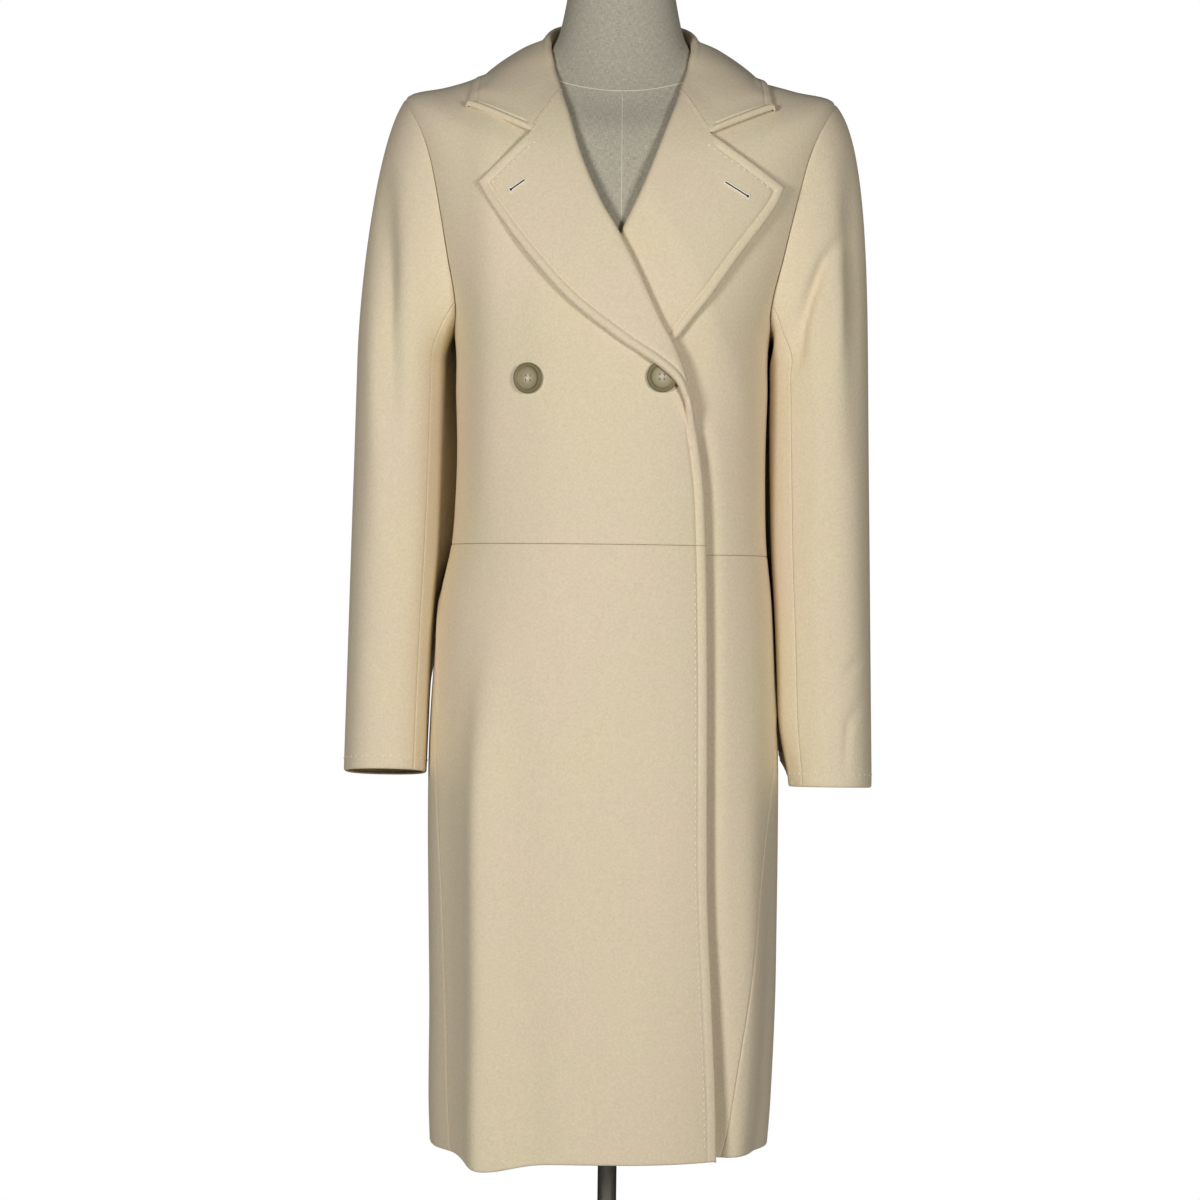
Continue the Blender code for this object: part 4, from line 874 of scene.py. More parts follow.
# ---------------------------------------------------------------- collar
# Stand and turned-down leaf of one piece, sewn to the neckline and along the gorge to the
# lapels. The leaf lies on the shoulders; its edge is turned and stitched.
COLLAR = np.array([
    # place, seam angle and level, fold x y z, outer edge x y z, from the centre back
    (0, 180, 1.400, 0.0000, 0.0720, 1.4580, 0.0000, 0.1060, 1.3850),
    (1, 150, 1.400, 0.0330, 0.0635, 1.4575, 0.0520, 0.0990, 1.3860),
    (2, 122, 1.400, 0.0580, 0.0400, 1.4510, 0.0980, 0.0710, 1.3930),
    (3, 98, 1.400, 0.0665, 0.0080, 1.4370, 0.1255, 0.0240, 1.3990),
    (4, 80, 1.400, 0.0675, -0.0190, 1.4215, 0.1345, -0.0130, 1.3880),
    (5, 65, 1.400, 0.0640, -0.0385, 1.4070, 0.1385, -0.0420, 1.3745),
    (6, 53, 1.395, 0.0600, -0.0550, 1.3890, 0.1412, -0.0600, 1.3635),
    (7, 37, 1.385, 0.0549, -0.0680, 1.3715, 0.1427, -0.0700, 1.3555),
])
FRONT_SHARE = 0.62          # from this share of its length on it lies on the front
ROLL_MIDDLE = 0.0032        # radius of the middle of its cloth at the fold
LEAF = 40                   # rows of points across the leaf, and across the stand
STAND_ROWS = 6
COLLAR_SWELL = 1.20         # its swelled edge is narrower than the lapel's
LEAF_LOW, LEAF_HIGH = 0.0036, 0.0044    # heights between which the leaf lies on the coat's body
LEAF_ON_LAPEL = 0.0034      # how much higher it lies in front, beside the lapel
LEAF_LIFT = 0.018           # its upper half may bulge this much more at the neck
LEAF_THIN = 0.0005          # its outer edge is pressed flat
COLLAR_SHEET = (0.151, 0.563, 0.0528)   # breadth, length and area of the flat piece


def collar_section(share):
    """Middle of the collar's cloth from the neckline seam over the fold to its outer edge."""
    here = follow(COLLAR, share * 7)
    angle, level, fold, edge = np.radians(here[:, 1]), here[:, 2], here[:, 3:6], here[:, 6:9]
    inside = np.full(angle.shape, -CLOTH / 2)
    seam = body_skin(angle, level, inside)
    rise = unit(fold - seam)
    seam = seam + rise * 0.0012     # its edge stands on the neckline seam
    down, inward = unit(edge - fold), unit(seam - fold)
    crest, outward = -unit(down + inward), unit(down - inward)
    core = fold - crest * (ROLL_MIDDLE + CLOTH / 2)
    stand = [seam + (core - outward * ROLL_MIDDLE - seam) * k / STAND_ROWS
             for k in range(STAND_ROWS)]
    turn = np.linspace(0, pi, BENDS + 1)
    bend = [core + (crest * sin(t) - outward * cos(t)) * ROLL_MIDDLE for t in turn]
    leaf = [bend[-1] + (edge - bend[-1]) * s + outward * 0.016 * s * (1 - s)
            for s in np.linspace(0, 1, LEAF + 1)[1:]]
    return np.stack(stand + bend + leaf, 1)


def laid_on(tree, points, heights):
    """Points moved to their heights above the nearest place of a surface."""
    made = np.empty(points.shape)
    for spot in np.ndindex(points.shape[:2]):
        place, normal, _, _ = tree.find_nearest(points[spot].tolist())
        made[spot] = place + normal * float(heights[spot])
    return made


def collar_on_front(share, tree):
    """The same section where it lies on the front; the last one runs along the gorge seam."""
    here = follow(COLLAR, share * 7)
    fold_z, tip = here[:, 5], here[:, 6:9]
    flat_top = np.array((edge_x(ROLL_LEFT, GORGE_TOP_Z), GORGE_TOP_Z))
    shift = gorge_shift(flat_top, LAPEL_LEFT_NOTCH, -GORGE_GAP / 2)
    top, notch = (front_skin(*(spot + shift)[:, None])[0] for spot in (flat_top, LAPEL_LEFT_NOTCH))
    start = front_skin(edge_x(ROLL_LEFT, fold_z), fold_z)
    start = start + (top - start[-1]) * smooth_step(0.9, 1.0, share)[:, None]
    straight = start + (tip - start) * seam_share(top, notch, tip[-1])
    bend = smooth_step(FRONT_SHARE, 1.0, share)[:, None]
    corner = straight + (notch + start - top - straight) * bend
    breadth = np.linalg.norm(corner - start, axis=1) / seam_share(start, corner, tip)
    flat_start, flat_corner = start[:, (0, 2)], corner[:, (0, 2)]
    scale = 1 / steepness(ROLL_LEFT, fold_z, flat_start, flat_corner) / breadth
    leaf = np.linspace(0, 1, LEAF + 1)[1:]
    section = rolled_section(roll_radius(fold_z), scale, BENDS + 1, leaf)
    across, height = (np.concatenate((np.repeat(values[:, :1], STAND_ROWS, axis=1), values), axis=1)
                      for values in section)
    place = laid_on(tree, bent_line(start[:, None], corner[:, None], tip[:, None], across), height)
    flat = bent_line(*(point[:, None, ::2] for point in (start, corner, tip)), across)
    onto = smooth_step(0.86, 1.0, share)[:, None, None]
    return place * (1 - onto) + front_skin(flat[..., 0], flat[..., 1], height) * onto


def smoothed(points, times):
    """Even out rows along the first axis, holding its two ends."""
    for _ in range(times):
        points = points.copy()
        points[1:-1] = points[1:-1] / 2 + (points[:-2] + points[2:]) / 4
    return points


around, climb = np.meshgrid(np.linspace(-pi, pi, 361), np.linspace(HEM, NECK_LEVEL, 420))
body_tree = search_tree(body_point(around, climb))
share = np.linspace(0, 1, 90)
half = collar_section(share)
half = half + surface_normals(half, -1) * CLOTH / 2
lying = share > FRONT_SHARE
weight = smooth_step(FRONT_SHARE, 0.92, share)[:, None, None]
half[lying] += (collar_on_front(share[lying], body_tree) - half[lying]) * weight[lying]
for r, c in np.ndindex(len(half), LEAF):
    spot = half[r, c - LEAF]
    outer = c / LEAF
    front = smooth_step(0.84, 0.99, share[r]) * (1 - 0.25 * smooth_step(0.75, 1.0, outer))
    thin = LEAF_THIN * (1 - front) * smooth_step(0.80, 1.0, outer)
    lift = LEAF_LIFT * (1 - weight[r, 0, 0]) * (1 - smooth_step(0.5, 1.0, outer))
    place, normal, _, _ = body_tree.find_nearest(spot.tolist())
    height = (Vector(spot) - place).dot(normal)
    raised = LEAF_ON_LAPEL * front
    kept = min(max(height, LEAF_LOW + raised), LEAF_HIGH + raised + lift) - thin
    spot += np.array(normal) * (kept - height)
half[:, -LEAF:] = smoothed(half[:, -LEAF:], 8)
collar_points = np.concatenate((half[:0:-1] * (-1, 1, 1), half))


def collar_relief(points, left, right, below, above):
    """A row of stitches inside the outer edge, and the swelled short front edges."""
    short = np.minimum(below, above) + 1 - smooth_step(0.082, 0.088, np.abs(points[..., 0]))
    row = -0.0007 * stitch_groove(right) * smooth_step(0.006, 0.012, short)
    return swelling(short * COLLAR_SWELL) * (1 - 0.5 * smooth_step(0.006, 0.0, right)) + row


normals = surface_normals(collar_points, -1)
collar_points = laid_out(collar_points, normals, LAPEL_PITCHES, (THICK_EDGE, THICK_EDGE),
                         (PLAIN, TURNED_EDGE), collar_relief, gorge_depth)
wool_piece("collar", collar_points[:, ::-1], COLLAR_SHEET, "folded", "front_bodice_right_cloth",
           "front_bodice_left_cloth", "back_bodice_right_cloth", "back_bodice_left_cloth")

# ---------------------------------------------------------------- sleeves
# Two-piece sleeves: a top and an under sleeve that meet at the fore and the hind seam, eased
# into the armhole over a soft cap. The cuff edge is turned in and held by pick stitches.
SLEEVE_RINGS = np.array([
    # height centre_x centre_y half_width half_depth
    (0.737, 0.2141, -0.020, 0.0373, 0.0500), (0.850, 0.2117, -0.008, 0.0382, 0.0560),
    (0.955, 0.2085, 0.000, 0.0398, 0.0620), (1.040, 0.2065, 0.004, 0.0402, 0.0660),
    (1.125, 0.2048, 0.004, 0.0402, 0.0690),
])
SLEEVE_SIGN = {"right": -1, "left": 1}
SLEEVE_SHIFT = {"right": 0.0, "left": -0.0085}
CUFF_Z = {"right": 0.7355, "left": 0.7262}
CUFF_SLANT = {"right": 0.0055, "left": 0.0025}
CAP_RISE = 0.33
ARMHOLE_TUCK = 0.0006       # the sleeve's edge goes this far under the body's
SLEEVE_PITCHES = (0.0055, 0.0034)
CAP_TOP = {                 # what the cap's top adds to its outward direction and its length
    "right": (0.25, -0.25, 0.15), "left": (0.35, -0.15, 0.17),
}
FORE_SEAM, HIND_SEAM = 135, 240     # places round the sleeve, in degrees from its outer side
LEAN_LEAST = 0.0022         # height of the sleeve's face over the body where it leans on it
SLEEVE_SHEETS = {           # breadth, length and area of the flat pieces
    "sleeve_under_right": (0.167, 0.483, 0.0517), "sleeve_top_right": (0.458, 0.656, 0.149),
    "sleeve_under_left": (0.168, 0.490, 0.0541), "sleeve_top_left": (0.462, 0.665, 0.152),
}


def dot(a, b):
    return (a * b).sum(-1, keepdims=True)


def sleeve_section(side, z, turn):
    ring = follow(SLEEVE_RINGS, z)
    power = 2 / 2.3
    x = ring[..., 1] + ring[..., 3] * signed_power(np.cos(turn), power)
    y = -ring[..., 4] * signed_power(np.sin(turn), power)
    slant = CUFF_SLANT[side] * smooth_step(SLEEVE_RINGS[-1, 0], CUFF_Z[side], z)
    return np.stack((SLEEVE_SIGN[side] * x + SLEEVE_SHIFT[side], ring[..., 2] + y,
                     z - slant * y / ring[..., 4]), -1)


def armhole(side, turn):
    """Middle of the body's cloth round the armhole, and its normal."""
    level = UNDERARM_LEVEL + (SHOULDER_LEVEL - UNDERARM_LEVEL) / 2 * (1 + np.cos(turn))
    ahead = np.sin(turn) > 0
    swing = np.where(ahead, -armhole_angle(level, 1), armhole_angle(level, -1))
    angle = SLEEVE_SIGN[side] * (radians(90) + swing)
    normal = body_normal(angle, level)
    return body_point(angle, level) - normal * CLOTH / 2, normal


def sleeve_surface(side, turn):
    """Middle of the sleeve's cloth from the armhole to the cuff, for turns from its top."""
    sign = SLEEVE_SIGN[side]
    middle, normal = armhole(side, turn)
    along = armhole(side, turn + 0.02)[0] - armhole(side, turn - 0.02)[0]
    away = unit(np.cross(along, normal))
    away = away * np.sign(away[..., :1] * sign)
    lift = (1 + np.cos(turn))[:, None] / 2
    out, up, longer = CAP_TOP[side]
    leave = unit(np.concatenate((sign * (0.35 + out * lift), 0 * lift, -0.55 + up * lift), -1))
    flat = np.concatenate((dot(leave, away), dot(leave, normal)), -1)
    flat = np.where(flat[:, 1:] < 0, (1.0, 0.0), unit(flat))
    bend = unit(flat + (1, 0))
    start = middle + normal * CLOTH / 2 + (away * bend[:, :1] + normal * bend[:, 1:]) * 0.0003
    start = start + (away * flat[:, 1:] - normal * flat[:, :1]) * CLOTH / 2
    end = sleeve_section(side, np.full(turn.shape, SLEEVE_RINGS[-1, 0]), turn)
    reach = np.linalg.norm(end - start, axis=-1, keepdims=True)
    leave = leave * reach * (CAP_RISE + longer * lift)
    arrive = np.array((sign * 0.02, 0, -1)) * reach
    s = np.linspace(0, 1, 60)[:-1, None, None]
    cap = hermite(s, start, leave, end, arrive)
    z = np.linspace(SLEEVE_RINGS[-1, 0], CUFF_Z[side], 100)
    arm = sleeve_section(side, *np.broadcast_arrays(z[:, None], turn[None, :]))
    return np.concatenate((cap, arm))


# The inner side leans on the body: how far behind and ahead, and between which heights it starts.
INNER_LEAN = {"right": (0.040, 0.0, 0.80, 0.95), "left": (0.040, 0.011, 0.72, 0.80)}
SLEEVE_CREASES = {
    # the side it is on (1 front, -1 back), spread, height, and its points in front view
    "right": [(1, 0.0125, -0.0105, (-0.2200, 1.290), (-0.2190, 1.236), (-0.2162, 1.180),
               (-0.2120, 1.105), (-0.2100, 1.050)),
              (1, 0.0110, 0.0022, (-0.2270, 1.175), (-0.2230, 0.960)),
              (1, 0.0080, -0.0014, (-0.1930, 1.020), (-0.2020, 0.860)),
              (1, 0.0045, -0.0016, (-0.2290, 0.850), (-0.2060, 0.822)),
              (-1, 0.0080, -0.0040, (-0.2120, 1.290), (-0.2000, 1.130)),
              (-1, 0.0110, 0.0026, (-0.2250, 1.160), (-0.2180, 0.930)),
              (-1, 0.0050, -0.0020, (-0.1900, 0.900), (-0.2150, 0.860))],
    "left": [(1, 0.0062, -0.0095, (0.2060, 1.236), (0.1920, 1.2176), (0.1845, 1.199),
              (0.1771, 1.180), (0.1705, 1.157), (0.1687, 1.124)),
             (1, 0.0120, -0.0056, (0.2160, 1.310), (0.2185, 1.255), (0.2225, 1.180),
              (0.2230, 1.040)),
             (1, 0.0070, 0.0022, (0.2080, 1.235), (0.2060, 1.120)),
             (1, 0.0100, -0.0014, (0.1800, 1.130), (0.1760, 0.960)),
             (1, 0.0036, -0.0022, (0.2330, 0.850), (0.2110, 0.830)),
             (1, 0.0040, -0.0020, (0.2320, 0.807), (0.2185, 0.789), (0.2150, 0.742)),
             (-1, 0.0075, -0.0036, (0.2000, 1.280), (0.1860, 1.150)),
             (-1, 0.0100, 0.0026, (0.2120, 1.150), (0.2060, 0.900)),
             (-1, 0.0045, -0.0020, (0.2250, 0.870), (0.1980, 0.845))],
}


def sleeve_relief(side, points, normals):
    """Soft creases of a sleeve, listed one by one, uneven in length, depth and slant."""
    made = np.zeros(points.shape[:2])
    at = points[..., ::2]
    for facing, spread, height, *knots in SLEEVE_CREASES[side]:
        knots = np.array(knots)
        best = np.full(made.shape, 1.0)
        along = np.zeros(made.shape)
        for number, (start, end) in enumerate(zip(knots, knots[1:])):
            run = end - start
            share = np.clip((at - start) @ run / (run @ run), 0, 1)
            away = np.linalg.norm(at - start - share[..., None] * run, axis=-1)
            along = np.where(away < best, (number + share) / (len(knots) - 1), along)
            best = np.minimum(best, away)
        taper = 0.25 + 0.75 * np.sin(pi * along)
        seen_side = smooth_step(0.10, 0.55, -facing * normals[..., 1])
        made = made + height * taper * seen_side * np.exp(-(best / spread) ** 2)
    return made


def bump(turn, middle, spread):
    """Flat-topped rise round a place; all three are angles in radians."""
    return np.exp(-np.abs((turn - middle) / spread) ** 3)


def leaned(side, tube, turn, reach):
    """The sleeve's inner side moved toward the body until it rests on it."""
    behind, ahead, start, full = INNER_LEAN[side]
    move = np.maximum(behind * bump(turn, 1.22 * pi, 0.42), ahead * bump(turn, 0.95 * pi, 0.62))
    move = move * smooth_step(start, full, tube[..., 2]) * smooth_step(0.003, 0.032, reach)
    tube = tube.copy()
    tube[..., 0] -= SLEEVE_SIGN[side] * move
    for spot in zip(*np.nonzero(move > 0.0004)):
        place, normal, _, _ = body_tree.find_nearest(tube[spot].tolist())
        if (Vector(tube[spot]) - place).dot(normal) < LEAN_LEAST:
            tube[spot] = place + normal * LEAN_LEAST
    return tube


def tube_normals(tube, sign):
    """Normals of a tube whose last column is its first one again."""
    wide = np.concatenate((tube[:, -3:-1], tube, tube[:, 1:3]), axis=1)
    return surface_normals(wide, sign)[:, 2:-2]


def build_sleeve(side):
    sign = SLEEVE_SIGN[side]
    turn = np.linspace(0, 2 * pi, 361)
    tube = sleeve_surface(side, turn)
    tube[:, -1] = tube[:, 0]
    normals = tube_normals(tube, sign)
    tube = tube + normals * CLOTH / 2
    seam, normal = armhole(side, turn)
    reach = run_length(tube)
    inside = unit(tube[0] - tube[6]) * ARMHOLE_TUCK
    tucked = seam + normal * CLOTH / 2 + inside - tube[0]
    tube = tube + tucked * np.exp(-(reach / 0.012) ** 2)[..., None]
    tube = tube + normals * sleeve_relief(side, tube, normals)[..., None]
    tube = leaned(side, tube, turn[None, :], reach)
    normals = tube_normals(tube, sign)
    for part, chosen in (("sleeve_under_", np.arange(FORE_SEAM, HIND_SEAM + 1)),
                         ("sleeve_top_", np.arange(HIND_SEAM, FORE_SEAM + 361) % 360)):
        points = laid_out(tube[:, chosen], normals[:, chosen], SLEEVE_PITCHES,
                          (SEAM_EDGE, HEM_EDGE), (THIN_SEAM, THIN_SEAM))
        wool_piece(part + side, points[:, ::sign], SLEEVE_SHEETS[part + side], "hung",
                   f"front_bodice_{side}_cloth", f"back_bodice_{side}_cloth")
    return tube[::-1], normals[::-1]


sleeve_right = build_sleeve("right")
sleeve_left = build_sleeve("left")

# ---------------------------------------------------------------- buttons
# Two four-hole buttons of horn-coloured resin: a raised rim round a sunk dish, sewn on with a
# crossed thread. The resin is clouded like horn, olive at the rim and paler in the middle.
BUTTON_RADIUS = 0.01425
HOLE_RADIUS, HOLE_PLACE, HOLE_DEPTH = 0.0010, 0.0020, 0.0024
BUTTON_THREAD = 0.00032     # half its thickness
DISH_ROWS = 22              # rows of the sunk dish, close enough to hold the holes
BUTTON_PROFILE = np.array([  # share of the way from the middle over the rim to the underside
    (0.00, 0.0000, 0.0030), (0.30, 0.0055, 0.0029), (0.52, 0.0094, 0.0030), (0.60, 0.0106, 0.0036),
    (0.66, 0.0116, 0.0045), (0.74, 0.0128, 0.0047), (0.80, 0.0138, 0.0041), (0.85, 0.0142, 0.0031),
    (0.90, 0.0139, 0.0018), (1.00, 0.0103, 0.0003),
])


def clouded_horn(name):
    made, tree, shader = new_material(name)
    split = add_node(tree, "ShaderNodeSeparateXYZ", Vector=own_place(tree, "UV"))
    cloud = noise(tree, own_place(tree), 260.0, 3.0, Distortion=1.5)    # clouds of 3.8 mm
    spread = add_node(tree, "ShaderNodeMapRange", Value=cloud, To_Min=-0.10, To_Max=0.10)
    ring = add_node(tree, "ShaderNodeMath", {"operation": "ADD"}, in0=split.outputs["X"],
                    in1=spread.outputs[0])
    tone = colour_ramp(tree, ring.outputs[0], (0.12, "C9C2AA"), (0.32, "A89C7A"), (0.62, "948866"),
                       (0.80, "857B59"), (1.0, "78704F"))
    set_inputs(tree, shader, {"Base Color": tone, "Roughness": 0.48, "Specular IOR Level": 0.35})
    return made


def sewing_thread(name, code):
    made, tree, shader = new_material(name)
    twist = noise(tree, own_place(tree), 2500.0, 1.0)       # turns of 0.4 mm
    set_surface(tree, shader, twist, 0.3, 0.0002, Base_Color=linear(code), Roughness=0.7,
                Sheen_Weight=0.2)
    return made


horn = clouded_horn("clouded_olive_horn")
thread = sewing_thread("cream_sewing_thread", "F7F1DF")


def tube(name, path, radius, look, sides=8, closed=False):
    """Round thread along a path of points, with its ends drawn together."""
    path = np.asarray(path)
    ahead = np.gradient(path, axis=0)
    if closed:
        ahead[0] = ahead[-1] = path[1] - path[-2]
    ahead = unit(ahead)
    aside = unit(np.cross(ahead, (0.13, 0.97, 0.21)))
    over = np.cross(ahead, aside)
    turn = np.linspace(0, 2 * pi, sides + 1)[:, None, None]
    ring = (np.cos(turn) * aside + np.sin(turn) * over).transpose(1, 0, 2) * radius
    points = path[:, None] + ring
    if not closed:
        first, last = path[:1, None] + ring[:1] * 0, path[-1:, None] + ring[-1:] * 0
        points = np.concatenate((first, points, last))
    grid_piece(name, points, look, wall=0.0, closed=True)


def build_button(name, spot):
    angle, level = front_place(np.array([spot[0]]), np.array([spot[1]]))
    seat, facing = body_point(angle, level)[0], body_normal(angle, level)[0]
    aside = unit(np.cross((0, 0, 1), facing))
    up = np.cross(facing, aside)
    share = np.concatenate((np.linspace(0, 0.26, DISH_ROWS), np.linspace(0.28, 1, 26)))
    rows = follow(BUTTON_PROFILE, share)
    turn = np.linspace(0, 2 * pi, 97) + 0.15
    x, y = rows[:, 1:2] * np.cos(turn), rows[:, 1:2] * np.sin(turn)
    z = np.broadcast_to(rows[:, 2:3], x.shape).copy()
    for side, end in ((-1, -1), (-1, 1), (1, -1), (1, 1)):
        away = np.hypot(x - side * HOLE_PLACE, y - end * HOLE_PLACE)[:DISH_ROWS]
        z[:DISH_ROWS] -= HOLE_DEPTH * (1 - smooth_step(HOLE_RADIUS * 0.8, HOLE_RADIUS * 1.15, away))
    points = seat + x[..., None] * aside + y[..., None] * up + z[..., None] * facing
    plan = np.stack(np.broadcast_arrays(rows[:, 1:2] / BUTTON_RADIUS, turn / (2 * pi)), -1)
    piece = grid_piece(name + "_horn", points, horn, wall=0.0, closed=True, plan=plan)
    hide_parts(name)
    along = np.linspace(-1, 1, 15)
    for number, tilt in enumerate((1, -1)):
        # The second thread lies on the first; both dive into their holes at the ends.
        lift = 0.0029 + 0.0006 * (1 - along ** 2) + 0.0004 * number - 0.0012 * np.abs(along) ** 8
        path = seat + (along * HOLE_PLACE)[:, None] * (aside + tilt * up) + lift[:, None] * facing
        tube(f"{name}_thread_{number}", path, BUTTON_THREAD, thread)


build_button("button_outer", BUTTON_OUTER)
build_button("button_inner", BUTTON_INNER)

# ---------------------------------------------------------------- buttonholes
# A worked buttonhole in each lapel: a slit with a round eye at its outer end, edged all round
# with a pale cord of thread. The slit is a thin dark strip laid just over the lapel's face: painted
# shade.
BUTTONHOLES = {
    "right": (right_face, (-0.1010, 1.2732), (-0.0865, 1.2835)),
    "left": (left_face, (0.1187, 1.2705), (0.0957, 1.2839)),
}
SLIT_HALF, EYE_HALF, CORD = 0.0008, 0.0019, 0.0007
# The slit's dark brown is painted shade, not the colour of the cloth inside it.
painted_slit_shade, slit_tree, slit_shader = new_material("painted_shade_in_the_slit")
set_inputs(slit_tree, slit_shader, {"Base Color": linear("2E2218"), "Roughness": 0.95})


def on_face(face, x, z, outward=0.0):
    """Point in front view laid on a piece's face."""
    place, normal, _, _ = face.ray_cast((float(x), -1.0, float(z)), (0, 1, 0))
    if normal.y > 0:
        normal = -normal
    return np.array(place + normal * outward), np.array(normal)


for side, (face, eye, end) in BUTTONHOLES.items():
    eye, end = np.array(eye), np.array(end)
    length = np.linalg.norm(end - eye)
    ahead = (end - eye) / length
    aside = np.array((-ahead[1], ahead[0]))
    along = np.linspace(0, 1, 34)
    half = SLIT_HALF + (EYE_HALF - SLIT_HALF) * np.exp(-((along * length - 0.0010) / 0.0012) ** 2)
    half = half * np.sqrt(np.clip(1 - ((along - 0.5) * 2) ** 20, 0, 1))
    centre = eye + along[:, None] * length * ahead
    strip = np.stack([centre + aside * half[:, None] * share for share in (-1, 0, 1)], 1)
    strip = np.array([[on_face(face, *spot, 0.00012)[0] for spot in row] for row in strip])
    # The strip of painted shade that stands for the slit.
    grid_piece(f"buttonhole_{side}_slit", strip, painted_slit_shade, wall=0.0)
    beside = aside * (half + CORD * 0.6)[:, None]
    rim = np.concatenate((centre + beside, (centre - beside)[::-1], (centre + beside)[:1]))
    rim = [on_face(face, *spot, 0.0001)[0] for spot in rim]
    tube(f"buttonhole_{side}_cord", rim, CORD, thread, closed=True)

# ---------------------------------------------------------------- pick stitches
# Hand stitches of thick pale thread that hold the turned edges: down the outer front, along
# the tops of the lapels and round the cuffs. Each one sinks a little into the cloth.
STITCH_LONG, STITCH_HALF, STITCH_PITCH = 0.0032, 0.00050, 0.0066
EDGE_STITCHES, LAPEL_STITCHES, CUFF_STITCHES = 0.0114, 0.0085, 0.0115   # distances from the edge


def stitch_row(name, spots):
    """Small oval stitches: each spot holds its place, the way it runs and the cloth's normal."""
    bm = bmesh.new()
    for place, ahead, facing in spots:
        ahead, facing = Vector(ahead).normalized(), Vector(facing).normalized()
        aside = facing.cross(ahead).normalized()
        facing = ahead.cross(aside)
        turned = Matrix((ahead, aside, facing)).transposed().to_4x4()
        sized = Matrix.Diagonal((STITCH_LONG / 2, STITCH_HALF * 1.2, STITCH_HALF, 1))
        at = Matrix.Translation(Vector(place) + facing * STITCH_HALF * 0.3)
        bmesh.ops.create_uvsphere(bm, u_segments=8, v_segments=5, radius=1,
                                  matrix=at @ turned @ sized)
    bmesh.ops.recalc_face_normals(bm, faces=bm.faces)
    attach(mesh_object(name, bm, thread), "root")


z = np.arange(0.402, 0.930, STITCH_PITCH)
x = edge_x(EDGE_RIGHT, z) - EDGE_STITCHES
angle, level = front_place(x, z)
facing = body_normal(angle, level)
place = body_point(angle, level) - facing * 0.0002
ahead = np.gradient(place, axis=0) + np.array((0.25, 0, 0)) * STITCH_PITCH     # a slight slant
stitch_row("front_edge_stitches", zip(place, ahead, facing))
for side, face, notch, outline in (("right", right_face, LAPEL_RIGHT_NOTCH, LAPEL_RIGHT_EDGE),
                                   ("left", left_face, LAPEL_LEFT_NOTCH, LAPEL_LEFT_EDGE)):
    run = outline[0] - notch
    length = np.linalg.norm(run)
    inward = np.array((run[1], -run[0])) * np.sign(run[0]) / length
    spots = []
    for share in np.arange(0.06, 0.88, STITCH_PITCH / length):
        place, facing = on_face(face, *(notch + run * share + inward * LAPEL_STITCHES))
        spots.append((place, (run[0], 0, run[1]), facing))
    stitch_row(f"lapel_{side}_stitches", spots)
for side, (points, normals) in (("right", sleeve_right), ("left", sleeve_left)):
    row = int(np.argmax(run_length(points)[:, 0] > CUFF_STITCHES))
    length = run_length(points[row])
    at = np.arange(0.002, length[-1] - 0.002, STITCH_PITCH * 1.1)
    place, facing = (np.column_stack([np.interp(at, length, line[:, k]) for k in range(3)])
                     for line in (points[row], normals[row]))
    stitch_row(f"cuff_{side}_stitches", zip(place, np.gradient(place, axis=0), facing))

# ---------------------------------------------------------------- dress form
# A limbless torso covered in plain-woven linen: one cover for the body, with a seam down the
# centre front, and one for the neck, sewn on in a round seam.
FORM_RINGS = rings((
    # level, half_width, front_depth, back_depth, centre_x, squareness
    (0.704, 0.1300, 0.080, 0.086, 0.0, 2.2),
    (0.712, 0.1460, 0.092, 0.100, 0.0, 2.2),
    (0.760, 0.1500, 0.098, 0.108, 0.0, 2.2),
    (0.830, 0.1480, 0.096, 0.104, 0.0, 2.2),
    (0.910, 0.1310, 0.086, 0.090, 0.0, 2.2),
    (0.990, 0.1160, 0.080, 0.082, 0.0, 2.2),
    (1.060, 0.1220, 0.090, 0.088, 0.0, 2.2),
    (1.130, 0.1320, 0.106, 0.096, 0.0, 2.2),
), (
    # level, side_z, front_z, back_z, half_width, front_depth, back_depth, centre_x, squareness
    (1.190, 1.200, 1.185, 1.195, 0.1400, 0.113, 0.100, 0.0, 2.2),
    (1.250, 1.270, 1.238, 1.255, 0.1480, 0.109, 0.100, 0.0, 2.2),
    (1.300, 1.330, 1.284, 1.310, 0.1590, 0.102, 0.097, 0.0, 2.2),
))
FORM_SHOULDERS = (1.341, 1.350, 1.360, 1.370, 1.379)
FORM_INSIDE = 0.0040        # the cloth's wall and the air under it
FORM_NECK = np.array([
    (1.4030, 1.4030, 1.360, 1.4170, 0.0660, 0.0640, 0.0710, 0.0, 2.15),
    (1.4180, 1.4180, 1.376, 1.4320, 0.0618, 0.0580, 0.0665, 0.0, 2.1),
    (1.4310, 1.4310, 1.402, 1.4420, 0.0590, 0.0520, 0.0640, 0.0, 2.1),
    (1.4430, 1.4430, 1.428, 1.4510, 0.0568, 0.0490, 0.0630, 0.0, 2.1),
    (1.4560, 1.4560, 1.450, 1.4600, 0.0535, 0.0470, 0.0610, 0.0, 2.1),
    (1.4700, 1.4700, 1.468, 1.4720, 0.0510, 0.0460, 0.0595, 0.0, 2.1),
    (1.4960, 1.4960, 1.496, 1.4960, 0.0490, 0.0440, 0.0580, 0.0, 2.0),
    (1.5000, 1.5000, 1.500, 1.5000, 0.0450, 0.0400, 0.0540, 0.0, 2.0),
])
SEAM_COLUMN = 90            # column at the centre front
turn = np.linspace(-pi, pi, 181)
knots = [ring_point(follow(FORM_RINGS, np.full(turn.shape, level)), turn)
         for level in (0.704, 0.712, *np.linspace(0.735, 1.300, 12))]
knots += [body_skin(turn, np.full(turn.shape, level), np.full(turn.shape, -FORM_INSIDE))
          for level in FORM_SHOULDERS]
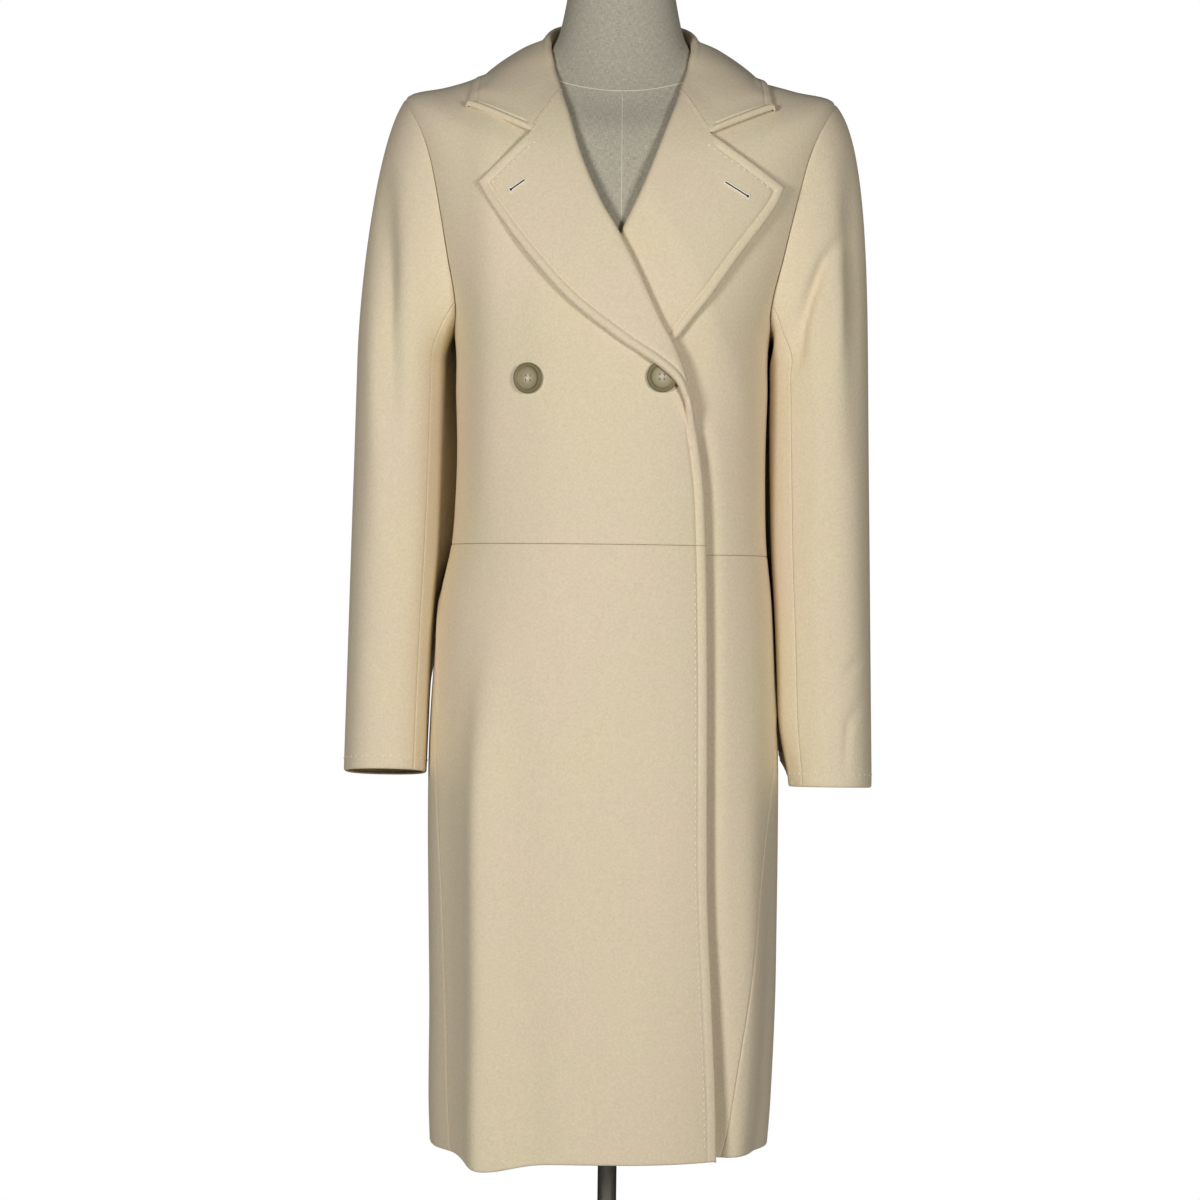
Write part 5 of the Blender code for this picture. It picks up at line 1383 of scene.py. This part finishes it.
knots += [ring_point(np.broadcast_to(ring, (*turn.shape, 9)), turn) for ring in FORM_NECK]
ends = [np.broadcast_to((0, 0, z), knots[0].shape) for z in (0.7004, 1.5)]
knots = np.stack([ends[0], *knots, ends[1]])
last = len(knots) - 1
table = np.column_stack((np.arange(last + 1), knots.reshape(last + 1, -1)))
fine = np.concatenate(((0, 0.9), np.linspace(1, last - 1, 150), (last - 0.5, last)))
form_points = np.stack([follow(table, place)[1:].reshape(-1, 3) for place in fine])
form_points[70:-12] = smoothed(form_points[70:-12], 140)    # from the waist up to the neck
across = run_length(form_points, 1)
across = across - across[:, SEAM_COLUMN:SEAM_COLUMN + 1]
down = run_length(form_points)[:, SEAM_COLUMN:SEAM_COLUMN + 1]


def woven_linen(name):
    """Plain weave on a plan in metres: one thread with its gap takes two cells of 1 / 1900 m.

    That is 1.1 mm, about twice the real size, so that it shows. A slub is ten cells long.
    """
    made, tree, shader = new_material(name)
    plan = own_place(tree, "UV")
    weft = noise(tree, stretched(tree, plan, (190, 1900, 1)), 1.0, 2.0)
    warp = noise(tree, stretched(tree, plan, (1900, 190, 1)), 1.0, 2.0)
    both = add_node(tree, "ShaderNodeMath", {"operation": "ADD"}, in0=weft, in1=warp).outputs[0]
    spread = add_node(tree, "ShaderNodeMapRange", Value=both, From_Min=0.7, From_Max=1.3)
    tone = colour_ramp(tree, spread.outputs[0], (0.0, "A19A86"), (1.0, "D0CAB8"))
    set_surface(tree, shader, both, 0.5, 0.0004, Base_Color=tone, Roughness=0.9, Sheen_Weight=0.1)
    return made


linen = woven_linen("natural_woven_linen")
plan = np.stack(np.broadcast_arrays(across, down), -1)
form = grid_piece("form_linen", form_points, linen, wall=0.0, closed=True, plan=plan)
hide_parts("form_torso")
seam_thread = sewing_thread("natural_linen_thread", "E2DCC8")
form_face = search_tree(form_points[:, 30:-30])
arc = [on_face(form_face, x, 1.3738 + 3.1 * x * x)[0] for x in np.linspace(-0.060, 0.060, 80)]
tube("neck_seam_thread", arc, 0.00045, seam_thread)
centre = [on_face(form_face, 0.0015, z)[0] for z in np.linspace(1.18, 1.3730, 60)]
tube("centre_seam_thread", centre, 0.00050, seam_thread)

# ---------------------------------------------------------------- end
low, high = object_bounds()
